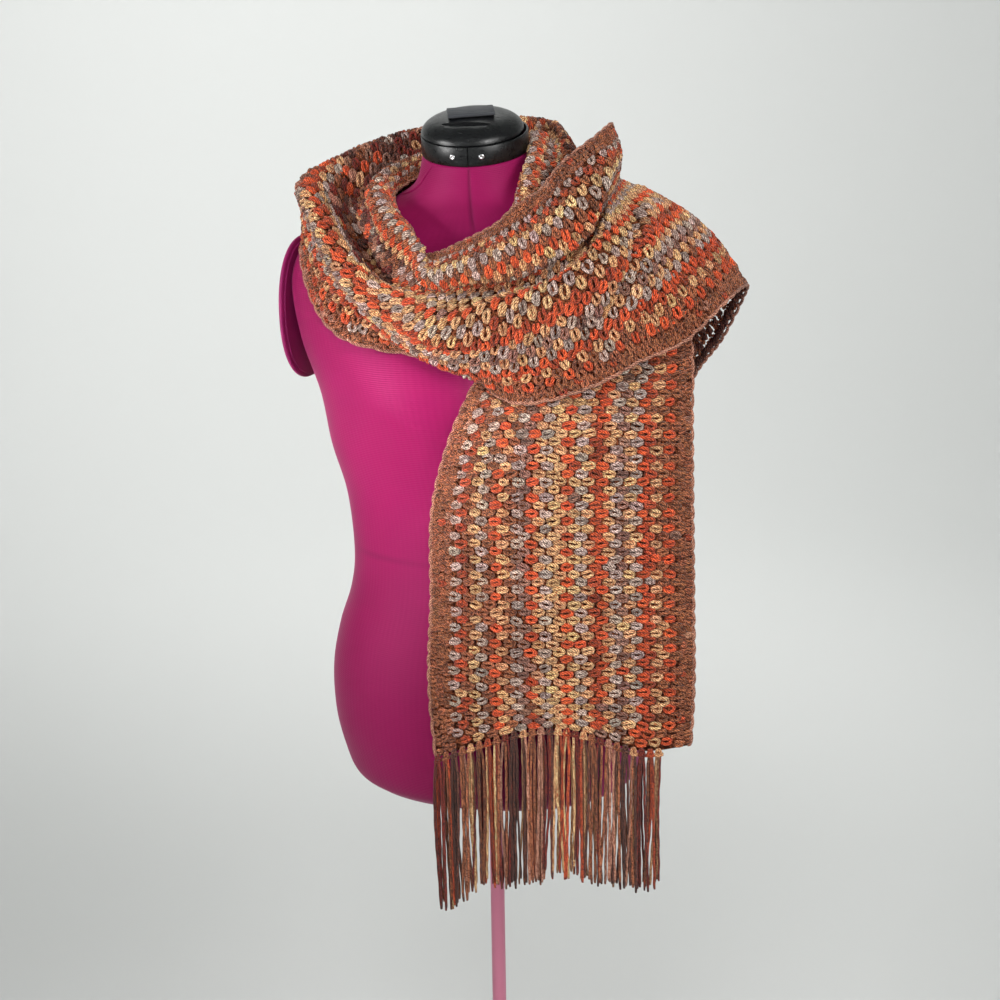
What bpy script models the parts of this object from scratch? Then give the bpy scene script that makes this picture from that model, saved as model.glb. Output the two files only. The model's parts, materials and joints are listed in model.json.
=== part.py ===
"""A crochet scarf wound once round the neck of a limbless dress form on a stand.

Metres, +Z up. The form faces -Y and its pole stands on the Z axis, with the floor at Z = 0.
The scarf is one long strip, laid in the sections of SCARF_SECTIONS from the front hem to the
back hem. It is cut into the stretches that show, with a hair's gap at each cut.
"""

import math

import bmesh
import bpy
import numpy as np
from mathutils.bvhtree import BVHTree

MM = 0.001
SEAM_GAP = 0.3 * MM  # between pieces that touch
SHARP_ANGLE = math.radians(40)  # faces that meet more sharply are shaded with an edge

# Scarf
CLOTH_THICKNESS = 4.0 * MM  # a chunky yarn worked once through
CLOTH_ROWS = 112  # quads along the strip
CLOTH_COLUMNS = 15  # quads across the strip
FORM_CLEARANCE = 1.2 * MM  # cloth face to form
LAYER_CLEARANCE = 1.5 * MM  # cloth face to the layer under it
FORM_REACH = 60 * MM  # how deep inside the form a point may start
LAYER_REACH = 25 * MM  # how far apart two layers still push each other
SETTLE_ROUNDS = 5
FOLD_ROUNDS = 1  # how often a fold is averaged with the cloth beside it
FRINGE_LENGTH = 152 * MM
FRINGE_ROWS = 5

# Dress form, stand and neck cap
BUST_HEIGHT = 1150 * MM
BUST_OFFSET = 82 * MM  # each side of the centre
BUST_REACH = (62 * MM, 70 * MM)  # half width and half height of the swell
BUST_DEPTH = 20 * MM
NECK_START = 1318 * MM
NECK_TOP = 1380 * MM
NECK_CENTRE_Y = -50 * MM
NECK_LEAN = math.radians(13)
PLATE_INSET = 203 * MM  # from the centre to the flat that carries the arm plate
PLATE_TURN = math.radians(12)  # the arm plates look a little backwards
PLATE_CENTRE_Z = 1205 * MM
PLATE_HALF_HEIGHT = 80 * MM
PLATE_HALF_DEPTH = 60 * MM
PLATE_THICKNESS = 7 * MM
PLATE_EDGE = 1.75 * MM
PLATE_SQUARENESS = 2.2
FORM_SEGMENTS = 40
FORM_RINGS = 40
CAP_RADII = (56 * MM, 60 * MM)  # across and front to back
CAP_SKIRT_HEIGHT = 21 * MM
CAP_DOME_HEIGHT = 20.5 * MM
CAP_DOME_STEPS = 8
CAP_DOME_TURN = math.radians(84)  # how far the dome's curve closes in at the top
CAP_DOME_ROUNDING = 0.62  # below 1 the dome is boxier than a ball
BAND_THICKNESS = 2.2 * MM
BAND_SPLIT = 1.2 * MM
HANDLE_SIZE = (48 * MM, 13 * MM, 9 * MM)
HANDLE_EDGE = 1.5 * MM
HANDLE_SQUARENESS = 9
RIVET_RADIUS = 2.4 * MM
RIVET_OFFSET = 12.5 * MM
RIVET_HEIGHT = 1.4 * MM
RIVET_SEGMENTS = 16
POLE_RADIUS = 8.5 * MM
SOCKET_RADIUS = 22 * MM
SOCKET_HEIGHT = 38 * MM
HUB_RADIUS = 24 * MM
HUB_HEIGHT = 60 * MM
BASE_RADIUS = 175 * MM
BASE_THICKNESS = 12 * MM
BASE_EDGE = 3 * MM
ROUND_SEGMENTS = 32

# height, half_width, front and back of the form in mm, then how square its ring is
FORM_SECTIONS = (
    # height, half_width, front, back, squareness
    (652, 152, -108, 113, 2.2),
    (664, 168, -119, 125, 2.2),
    (690, 178, -126, 132, 2.2),
    (735, 188, -132, 140, 2.2),
    (790, 189, -132, 142, 2.2),
    (840, 179, -125, 132, 2.2),
    (885, 164, -115, 116, 2.15),
    (930, 158, -110, 104, 2.15),
    (1000, 162, -116, 98, 2.15),
    (1060, 175, -132, 100, 2.2),
    (1120, 183, -144, 106, 2.3),
    (1180, 204, -138, 110, 2.4),
    (1240, 216, -118, 108, 2.4),
    (1275, 203, -101, 98, 2.3),
    (1300, 168, -96, 80, 2.2),
    (1318, 120, -99, 54, 2.1),
    (1333, 86, -104, 30, 2.0),
    (1350, 64, -107, 16, 2.0),
    (1380, 55, -109, 9, 2.0),
)

# Where the strip lies, in mm: the edge and the folds that run along it, at each place
SCARF_SECTIONS = (
    # place, inner_edge, inner_roll, valley,
    # outer_ridge, outer_fall, outer_edge
    ("front_hem", (-34, -158, 737), (23, -166, 763), (82, -170, 784),
     (136, -168, 779), (188, -160, 759), (239, -146, 764)),
    ("hip", (-38, -160, 805), (20, -168, 811), (79, -172, 816),
     (136, -170, 819), (190, -162, 819), (241, -146, 816)),
    ("waist", (-33, -162, 920), (23, -170, 925), (81, -176, 930),
     (136, -172, 931), (189, -160, 930), (239, -142, 926)),
    ("rib", (-27, -164, 1031), (25, -172, 1035), (83, -180, 1039),
     (137, -176, 1040), (188, -160, 1037), (236, -138, 1033)),
    ("bust", (-5, -162, 1106), (39, -172, 1114), (87, -180, 1118),
     (139, -178, 1119), (189, -162, 1116), (234, -134, 1111)),
    ("under_band", (31, -148, 1187), (64, -160, 1195), (105, -164, 1196),
     (149, -160, 1196), (191, -146, 1195), (231, -122, 1196)),
    ("under_shoulder", (51, -128, 1286), (70, -132, 1287), (101, -132, 1287),
     (139, -118, 1286), (178, -100, 1279), (209, -80, 1269)),
    ("neck_right", (52, -92, 1336), (62, -102, 1356), (84, -74, 1342),
     (102, -40, 1355), (127, -12, 1326), (152, 22, 1306)),
    ("neck_right_back", (64, -34, 1348), (62, -42, 1392), (80, -14, 1376),
     (82, 12, 1398), (107, 50, 1335), (122, 88, 1276)),
    ("nape_right", (44, 14, 1358), (52, 28, 1390), (54, 50, 1370),
     (48, 68, 1409), (60, 98, 1350), (62, 118, 1268)),
    ("nape_left", (-34, 16, 1356), (-40, 28, 1386), (-44, 50, 1368),
     (-44, 68, 1404), (-56, 98, 1350), (-62, 120, 1268)),
    ("neck_left_back", (-70, -16, 1350), (-82, 2, 1364), (-94, 20, 1356),
     (-111, 34, 1393), (-128, 76, 1345), (-152, 100, 1277)),
    ("shoulder_back", (-88, -44, 1336), (-101, -58, 1347), (-132, -26, 1320),
     (-162, 22, 1373), (-182, 50, 1330), (-190, 72, 1278)),
    ("shoulder", (-76, -84, 1316), (-84, -112, 1330), (-113, -84, 1295),
     (-187, 0, 1348), (-207, 14, 1318), (-200, 34, 1282)),
    ("shoulder_front", (-58, -104, 1300), (-66, -134, 1312), (-96, -118, 1265),
     (-155, -72, 1314), (-190, -35, 1303), (-196, -40, 1276)),
    ("chest_left", (-60, -114, 1279), (-46, -138, 1294), (-71, -134, 1250),
     (-116, -132, 1273), (-156, -98, 1262), (-168, -100, 1228)),
    ("chest_mid_left", (-32, -126, 1279), (-34, -147, 1264), (-30, -138, 1244),
     (-73, -160, 1226), (-106, -142, 1227), (-122, -144, 1196)),
    ("chest_mid", (0, -132, 1292), (4, -160, 1273), (9, -139, 1251),
     (-17, -173, 1195), (-27, -172, 1182), (-9, -150, 1174)),
    ("chest_centre", (39, -126, 1312), (52, -163, 1290), (62, -138, 1257),
     (55, -182, 1213), (58, -176, 1170), (65, -182, 1141)),
    ("chest_right", (72, -108, 1337), (91, -156, 1309), (97, -128, 1269),
     (107, -183, 1241), (117, -178, 1194), (139, -192, 1161)),
    ("breast_right", (96, -84, 1366), (121, -137, 1332), (126, -102, 1297),
     (156, -165, 1273), (163, -166, 1225), (186, -176, 1185)),
    ("peak", (127, -52, 1392), (146, -93, 1356), (136, -70, 1317),
     (178, -128, 1301), (202, -140, 1249), (226, -140, 1199)),
    ("peak_tip", (139, -22, 1403), (150, -40, 1369), (142, -42, 1330),
     (189, -62, 1315), (228, -88, 1270), (261, -92, 1229)),
    ("shoulder_top", (112, 28, 1368), (130, 18, 1352), (148, 14, 1338),
     (196, 14, 1318), (244, 2, 1286), (280, -22, 1238)),
    ("shoulder_rear", (70, 72, 1345), (105, 66, 1338), (140, 62, 1330),
     (180, 58, 1318), (220, 50, 1292), (279, 36, 1224)),
    ("blade", (22, 104, 1275), (72, 106, 1270), (118, 108, 1262),
     (162, 106, 1250), (205, 96, 1230), (253, 86, 1164)),
    ("blade_low", (-30, 122, 1170), (24, 126, 1168), (76, 126, 1162),
     (126, 122, 1154), (174, 112, 1140), (218, 102, 1110)),
    ("back_waist", (-62, 132, 1010), (-8, 134, 1010), (46, 132, 1010),
     (100, 128, 1008), (152, 118, 1005), (200, 102, 1000)),
    ("back_hem", (-70, 152, 842), (-15, 156, 838), (40, 155, 836),
     (95, 150, 838), (148, 140, 842), (198, 122, 848)),
)

# Each stretch that shows, from one place of the strip to another
STRETCHES = (
    # node, first_place, last_place
    ("scarf_front_tail", "front_hem", "under_shoulder"),
    ("scarf_neck_side", "under_shoulder", "neck_right_back"),
    ("scarf_nape", "neck_right_back", "neck_left_back"),
    ("scarf_shoulder_loop", "neck_left_back", "chest_left"),
    ("scarf_crossing", "chest_left", "breast_right"),
    ("scarf_left_shoulder", "breast_right", "shoulder_rear"),
    ("scarf_back_tail", "shoulder_rear", "back_hem"),
)
LOWER_LAYER_END = "nape_left"  # the strip passes over itself after this place
UPPER_LAYER_START = "chest_left"

# colour as linear RGB, roughness, metallic
FINISHES = {
    "yarn": ((0.33, 0.11, 0.055), 0.9, 0.0),
    "knit": ((0.38, 0.012, 0.11), 0.75, 0.0),
    "plate": ((0.16, 0.008, 0.06), 0.6, 0.0),
    "black": ((0.008, 0.008, 0.01), 0.3, 0.0),
    "steel": ((0.6, 0.6, 0.62), 0.3, 1.0),
    "pink": ((0.46, 0.16, 0.24), 0.45, 0.0),
}


def clear_scene():
    for item in list(bpy.data.objects):
        bpy.data.objects.remove(item, do_unlink=True)


def make_materials():
    made = {}
    for name, (colour, roughness, metallic) in FINISHES.items():
        finish = bpy.data.materials.new(name)
        finish.use_nodes = True
        shader = finish.node_tree.nodes["Principled BSDF"]
        shader.inputs["Base Color"].default_value = (*colour, 1.0)
        shader.inputs["Roughness"].default_value = roughness
        shader.inputs["Metallic"].default_value = metallic
        made[name] = finish
    return made


def add_object(name, points, faces, finish):
    mesh = bpy.data.meshes.new(name)
    mesh.from_pydata([tuple(map(float, point)) for point in points], [], faces)
    mesh.materials.append(finish)
    shape = bmesh.new()
    shape.from_mesh(mesh)
    bmesh.ops.recalc_face_normals(shape, faces=shape.faces)
    shape.to_mesh(mesh)
    shape.free()
    mesh.shade_smooth()
    mesh.set_sharp_from_angle(angle=SHARP_ANGLE)
    made = bpy.data.objects.new(name, mesh)
    bpy.context.scene.collection.objects.link(made)
    return made


def smooth_through(knots, values, places):
    """The smooth curve through the values at the knots, read at the places."""
    knots, values, places = (np.asarray(item, float) for item in (knots, values, places))
    steps = np.diff(knots).reshape(-1, *[1] * (values.ndim - 1))
    slopes = np.diff(values, axis=0) / steps
    inner = (slopes[:-1] * steps[1:] + slopes[1:] * steps[:-1]) / (steps[:-1] + steps[1:])
    tangents = np.concatenate([slopes[:1], inner, slopes[-1:]])
    left = np.clip(np.searchsorted(knots, places, side="right") - 1, 0, len(knots) - 2)
    step = steps[left]
    part = ((places - knots[left]) / np.diff(knots)[left]).reshape(step.shape)
    start = (1 + 2 * part) * (1 - part) ** 2
    leave = part * (1 - part) ** 2
    end = part**2 * (3 - 2 * part)
    arrive = part**2 * (part - 1)
    return (
        start * values[left]
        + leave * step * tangents[left]
        + end * values[left + 1]
        + arrive * step * tangents[left + 1]
    )


def superellipse(angles, half_width, half_depth, squareness):
    across, along = np.cos(angles), np.sin(angles)
    power = 2 / squareness
    return (
        np.sign(across) * np.abs(across) ** power * half_width,
        np.sign(along) * np.abs(along) ** power * half_depth,
    )


def turn_angles(count):
    return np.arange(count) * 2 * math.pi / count


def stack_rings(rings):
    """Points and faces of a closed body through equal rings, from the bottom up."""
    count = len(rings[0])
    points = [point for ring in rings for point in ring]
    faces = [tuple(reversed(range(count)))]
    for level in range(len(rings) - 1):
        low, high = level * count, (level + 1) * count
        for i in range(count):
            j = (i + 1) % count
            faces.append((low + i, low + j, high + j, high + i))
    last = (len(rings) - 1) * count
    faces.append(tuple(last + i for i in range(count)))
    return points, faces


def stack_hollow_rings(outer, inner):
    """Points and faces of a tube wall: the outer rings from the bottom up, then the inner ones."""
    count = len(outer[0])
    loops = list(outer) + list(reversed(inner))
    points = [point for ring in loops for point in ring]
    faces = []
    for level in range(len(loops)):
        low, high = level * count, (level + 1) % len(loops) * count
        for i in range(count):
            j = (i + 1) % count
            faces.append((low + i, low + j, high + j, high + i))
    return points, faces


def round_ring(radius, height, count=ROUND_SEGMENTS):
    return [(radius * math.cos(a), radius * math.sin(a), height) for a in turn_angles(count)]


def form_rings(levels, segments):
    """Rings of the form's surface, as an array of levels by segments by 3."""
    table = np.array(FORM_SECTIONS, float)
    table[:, :4] *= MM
    rows = smooth_through(np.arange(len(table)), table, np.linspace(0, len(table) - 1, levels))
    angles = turn_angles(segments)
    rings = []
    for height, half_width, front, back, squareness in rows:
        across, along = superellipse(angles, half_width, (back - front) / 2, squareness)
        along = along + (front + back) / 2
        facing = np.clip(-np.sin(angles), 0, 1)
        side = (np.abs(across) - BUST_OFFSET) / BUST_REACH[0]
        rise = (height - BUST_HEIGHT) / BUST_REACH[1]
        along = along - BUST_DEPTH * facing * np.exp(-(side**2) - rise**2)
        flat = PLATE_INSET - along * math.tan(PLATE_TURN)
        across = np.clip(across, -flat, flat)
        lean = np.clip((height - NECK_START) / (NECK_TOP - NECK_START), 0, 1)
        upward = height + lean * math.tan(NECK_LEAN) * (along - NECK_CENTRE_Y)
        rings.append(np.stack([across, along, upward], axis=1))
    return np.array(rings)


def build_form(finishes):
    points, faces = stack_rings(form_rings(FORM_RINGS, FORM_SEGMENTS))
    add_object("form_body", points, faces, finishes["knit"])


def plate_solid(side):
    """An arm plate, on the flat at this side: -1 or +1."""
    outward = np.array([side * math.cos(PLATE_TURN), math.sin(PLATE_TURN), 0.0])
    level = np.array([-side * math.sin(PLATE_TURN), math.cos(PLATE_TURN), 0.0])
    centre = np.array([side * PLATE_INSET, 0.0, PLATE_CENTRE_Z])
    rings = []
    full_from, full_to = PLATE_EDGE, PLATE_THICKNESS - PLATE_EDGE
    for depth in (0, full_from, full_to, PLATE_THICKNESS):
        inset = 0 if full_from <= depth <= full_to else PLATE_EDGE
        half_depth, half_height = PLATE_HALF_DEPTH - inset, PLATE_HALF_HEIGHT - inset
        along, up = superellipse(turn_angles(ROUND_SEGMENTS), half_depth, half_height, PLATE_SQUARENESS)
        base = centre + outward * (SEAM_GAP + depth)
        rings.append([base + level * a * side + np.array([0, 0, b]) for a, b in zip(along, up)])
    return stack_rings(rings)


def build_plates(finishes):
    for side, name in ((1, "arm_plate_left"), (-1, "arm_plate_right")):
        points, faces = plate_solid(side)
        add_object(name, points, faces, finishes["plate"])


def on_neck(across, along, up):
    """A point given in the leaning frame of the neck's top, as a point of the part."""
    cosine, sine = math.cos(NECK_LEAN), math.sin(NECK_LEAN)
    back = along * cosine - up * sine
    rise = along * sine + up * cosine
    return np.array([across, NECK_CENTRE_Y + back, NECK_TOP + rise])


def cap_ring(inset, up):
    angles = turn_angles(ROUND_SEGMENTS)
    across, along = superellipse(angles, CAP_RADII[0] - inset, CAP_RADII[1] - inset, 2.0)
    return [on_neck(a, b, up) for a, b in zip(across, along)]


def build_cap(finishes):
    skirt = BAND_THICKNESS + SEAM_GAP
    top = CAP_SKIRT_HEIGHT + CAP_DOME_HEIGHT
    rings = [cap_ring(skirt, SEAM_GAP), cap_ring(skirt, CAP_SKIRT_HEIGHT + SEAM_GAP)]
    for step in range(CAP_DOME_STEPS + 1):
        turn = step / CAP_DOME_STEPS * CAP_DOME_TURN
        inset = CAP_RADII[0] * (1 - math.cos(turn) ** CAP_DOME_ROUNDING)
        up = CAP_SKIRT_HEIGHT + 2 * SEAM_GAP + CAP_DOME_HEIGHT * math.sin(turn)
        rings.append(cap_ring(inset, up))
    points, faces = stack_rings(rings)
    add_object("neck_cap", points, faces, finishes["black"])

    half_split = BAND_SPLIT / 2 / CAP_RADII[0]
    angles = -math.pi / 2 + np.linspace(half_split, 2 * math.pi - half_split, ROUND_SEGMENTS + 1)
    corners = []
    for inset, up in (
        (BAND_THICKNESS, 2 * SEAM_GAP),
        (0, 2 * SEAM_GAP),
        (0, CAP_SKIRT_HEIGHT - SEAM_GAP),
        (BAND_THICKNESS, CAP_SKIRT_HEIGHT - SEAM_GAP),
    ):
        across, along = superellipse(angles, CAP_RADII[0] - inset, CAP_RADII[1] - inset, 2.0)
        corners.append([on_neck(a, b, up) for a, b in zip(across, along)])
    points, faces = stack_rings([list(corner) for corner in zip(*corners)])
    add_object("cap_band", points, faces, finishes["black"])

    width, depth, height = HANDLE_SIZE
    rings = []
    for up, inset in ((0, 0), (height - HANDLE_EDGE, 0), (height, HANDLE_EDGE)):
        across, along = superellipse(
            turn_angles(ROUND_SEGMENTS), width / 2 - inset, depth / 2 - inset, HANDLE_SQUARENESS
        )
        rings.append([on_neck(a, b, top + 3 * SEAM_GAP + up) for a, b in zip(across, along)])
    points, faces = stack_rings(rings)
    add_object("cap_handle", points, faces, finishes["black"])

    for side, name in ((1, "cap_rivet_left"), (-1, "cap_rivet_right")):
        turn = -math.pi / 2 + side * RIVET_OFFSET / CAP_RADII[0]
        seat = np.array([CAP_RADII[0] * math.cos(turn), CAP_RADII[1] * math.sin(turn)])
        outward = np.array([math.cos(turn), math.sin(turn)])
        sideways = np.array([-outward[1], outward[0]])
        rings = []
        for out, radius in ((SEAM_GAP, 1.0), (0.6 * RIVET_HEIGHT, 0.92), (RIVET_HEIGHT, 0.5)):
            ring = []
            for a in turn_angles(RIVET_SEGMENTS):
                spot = seat + outward * out + sideways * RIVET_RADIUS * radius * math.cos(a)
                ring.append(on_neck(*spot, CAP_SKIRT_HEIGHT / 2 + RIVET_RADIUS * radius * math.sin(a)))
            rings.append(ring)
        points, faces = stack_rings(rings)
        add_object(name, points, faces, finishes["steel"])


def build_stand(finishes):
    form_bottom = FORM_SECTIONS[0][0] * MM
    heights = (BASE_THICKNESS + SEAM_GAP, form_bottom - SEAM_GAP)
    points, faces = stack_rings([round_ring(POLE_RADIUS, height) for height in heights])
    add_object("pole", points, faces, finishes["pink"])

    for name, radius, bottom, height in (
        ("pole_socket", SOCKET_RADIUS, form_bottom - SEAM_GAP - SOCKET_HEIGHT, SOCKET_HEIGHT),
        ("base_hub", HUB_RADIUS, BASE_THICKNESS + SEAM_GAP, HUB_HEIGHT),
    ):
        outer = [
            round_ring(radius, bottom),
            round_ring(radius, bottom + height - BASE_EDGE),
            round_ring(radius - BASE_EDGE, bottom + height),
        ]
        inner = [round_ring(POLE_RADIUS + SEAM_GAP, bottom + height * part) for part in (0, 0.5, 1)]
        points, faces = stack_hollow_rings(outer, inner)
        add_object(name, points, faces, finishes["black"])

    rings = [
        round_ring(BASE_RADIUS, 0),
        round_ring(BASE_RADIUS, BASE_THICKNESS - BASE_EDGE),
        round_ring(BASE_RADIUS - BASE_EDGE, BASE_THICKNESS),
    ]
    points, faces = stack_rings(rings)
    add_object("base_plate", points, faces, finishes["black"])


def grid_normals(grid):
    """Unit normals of the strip, pointing away from the form."""
    along = np.gradient(grid, axis=0)
    across = np.gradient(grid, axis=1)
    normals = np.cross(across, along)
    return normals / np.linalg.norm(normals, axis=2, keepdims=True)


def grid_faces(rows, columns):
    return [
        (i * columns + j, i * columns + j + 1, (i + 1) * columns + j + 1, (i + 1) * columns + j)
        for i in range(rows - 1)
        for j in range(columns - 1)
    ]


def refine(grid):
    """The grid with a point added in the middle of each side and each quad."""
    rows, columns = grid.shape[:2]
    fine = np.empty((2 * rows - 1, 2 * columns - 1, 3))
    fine[::2, ::2] = grid
    fine[1::2, ::2] = (grid[1:] + grid[:-1]) / 2
    fine[:, 1::2] = (fine[:, 2::2] + fine[:, :-2:2]) / 2
    return fine


def coarsen(moves):
    """For each point of the grid, the largest move among it and the points added round it."""
    padded = np.pad(moves, ((1, 1), (1, 1), (0, 0)), mode="edge")
    height, width = moves.shape[:2]
    near = np.stack([padded[i : i + height : 2, j : j + width : 2] for i in range(3) for j in range(3)])
    largest = np.linalg.norm(near, axis=3).argmax(axis=0)
    return np.take_along_axis(near, largest[None, :, :, None], axis=0)[0]


def lift_off(grid, surface, distance, reach):
    """How far each point of the grid has to move to lie this far outside the surface."""
    points = refine(grid)
    moves = np.zeros_like(points)
    for place in np.ndindex(points.shape[:2]):
        point = points[place]
        spot, normal, _, away = surface.find_nearest(point, reach)
        if spot is None:
            continue
        outside = float(np.dot(point - np.array(spot), normal))
        if abs(outside) < 0.5 * away:
            continue  # it lies beside the surface's edge
        if outside < distance:
            moves[place] = np.array(normal) * (distance - outside)
    return coarsen(moves)


def soften(moves):
    """Spreads each move into its neighbours on the strip."""
    padded = np.pad(moves, ((1, 1), (1, 1), (0, 0)), mode="edge")
    near = padded[:-2, 1:-1] + padded[2:, 1:-1] + padded[1:-1, :-2] + padded[1:-1, 2:]
    return 0.5 * moves + 0.125 * near


def round_folds(grid):
    """Opens the sharpest folds that run along the strip, and leaves its edges in place."""
    grid = grid.copy()
    for _ in range(FOLD_ROUNDS):
        grid[:, 1:-1] = 0.5 * grid[:, 1:-1] + 0.25 * (grid[:, :-2] + grid[:, 2:])
    return grid


def strip_places():
    """The place names, and how far along the strip each one lies."""
    names = [row[0] for row in SCARF_SECTIONS]
    points = np.array([row[1:] for row in SCARF_SECTIONS], float) * MM
    steps = np.linalg.norm(np.diff(points, axis=0), axis=2).mean(axis=1)
    return names, points, np.concatenate([[0], np.cumsum(steps)])


def scarf_grid(form_surface):
    """Middle surface of the strip as rows by columns by 3, and the row of each place."""
    names, points, runs = strip_places()
    lengthwise = smooth_through(runs, points, np.linspace(0, runs[-1], CLOTH_ROWS + 1))
    knots = np.linspace(0, 1, points.shape[1])
    across = smooth_through(knots, lengthwise.swapaxes(0, 1), np.linspace(0, 1, CLOTH_COLUMNS + 1))
    grid = round_folds(across.swapaxes(0, 1))
    rows = {name: round(run / runs[-1] * CLOTH_ROWS) for name, run in zip(names, runs)}

    off_form = CLOTH_THICKNESS / 2 + FORM_CLEARANCE
    off_layer = CLOTH_THICKNESS + LAYER_CLEARANCE
    upper = slice(rows[UPPER_LAYER_START], None)
    for step in range(SETTLE_ROUNDS):
        last = step == SETTLE_ROUNDS - 1
        lower = grid[: rows[LOWER_LAYER_END] + 1]
        lower_surface = BVHTree.FromPolygons(
            [tuple(p) for p in lower.reshape(-1, 3)], grid_faces(*lower.shape[:2])
        )
        moves = lift_off(grid[upper], lower_surface, off_layer, LAYER_REACH)
        grid[upper] += moves if last else soften(moves)
        moves = lift_off(grid, form_surface, off_form, FORM_REACH)
        grid = grid + (moves if last else soften(moves))
    return grid, rows


def wall_solid(middle, normals, thickness):
    """A closed wall of this thickness about a grid of middle points."""
    rows, columns = middle.shape[:2]
    outer = middle + normals * thickness / 2
    inner = middle - normals * thickness / 2
    points = np.concatenate([outer.reshape(-1, 3), inner.reshape(-1, 3)])
    total = rows * columns
    faces = [tuple(reversed(face)) for face in grid_faces(rows, columns)]
    faces += [tuple(total + i for i in face) for face in grid_faces(rows, columns)]
    rim = [j for j in range(columns)]
    rim += [i * columns + columns - 1 for i in range(1, rows)]
    rim += [(rows - 1) * columns + j for j in range(columns - 2, -1, -1)]
    rim += [i * columns for i in range(rows - 2, 0, -1)]
    for start, end in zip(rim, rim[1:] + rim[:1]):
        # both sides of a cut split their twisted edge faces the same way
        if start < end:
            faces += [(start, end, total + end), (start, total + end, total + start)]
        else:
            faces += [(start, end, total + start), (end, total + end, total + start)]
    return points, faces


def build_scarf(finishes, form_surface):
    grid, rows = scarf_grid(form_surface)
    normals = grid_normals(grid)
    heading = np.cross(normals, np.gradient(grid, axis=1))
    heading /= np.linalg.norm(heading, axis=2, keepdims=True)
    heading *= np.sign((heading * np.gradient(grid, axis=0)).sum(axis=2, keepdims=True))
    for name, first, last in STRETCHES:
        stretch = slice(rows[first], rows[last] + 1)
        middle = grid[stretch].copy()
        if first != SCARF_SECTIONS[0][0]:
            middle[0] += heading[rows[first]] * SEAM_GAP / 2
        if last != SCARF_SECTIONS[-1][0]:
            middle[-1] -= heading[rows[last]] * SEAM_GAP / 2
        points, faces = wall_solid(middle, normals[stretch], CLOTH_THICKNESS)
        add_object(name, points, faces, finishes["yarn"])
    build_fringe("fringe_front", grid[0], normals[0], -heading[0], finishes["yarn"])
    build_fringe("fringe_back", grid[-1], normals[-1], heading[-1], finishes["yarn"])


def build_fringe(name, hem, hem_normals, leave, finish):
    """The plain solid that the fringe fills: it leaves the hem and hangs straight down."""
    rows = []
    for step in range(FRINGE_ROWS + 1):
        part = step / FRINGE_ROWS
        down = np.array([0, 0, -1.0]) * FRINGE_LENGTH * part
        rows.append(hem + leave * SEAM_GAP + down)
    middle = np.array(rows)
    normals = np.broadcast_to(hem_normals, middle.shape).copy()
    normals[1:, :, 2] = 0
    normals /= np.linalg.norm(normals, axis=2, keepdims=True)
    points, faces = wall_solid(middle, normals, CLOTH_THICKNESS)
    add_object(name, points, faces, finish)


def surface_of(objects):
    """One search tree over the faces of these objects, which all lie at the origin."""
    points, faces = [], []
    for item in objects:
        faces += [tuple(len(points) + i for i in face.vertices) for face in item.data.polygons]
        points += [point.co.copy() for point in item.data.vertices]
    return BVHTree.FromPolygons(points, faces)


def main():
    clear_scene()
    finishes = make_materials()
    build_form(finishes)
    build_plates(finishes)
    build_cap(finishes)
    form_surface = surface_of(bpy.context.scene.collection.objects)
    build_stand(finishes)
    build_scarf(finishes, form_surface)


main()
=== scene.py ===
# Looks of the crochet scarf on its dress form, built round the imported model. Metres, +Z up.
import json
import math

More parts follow.
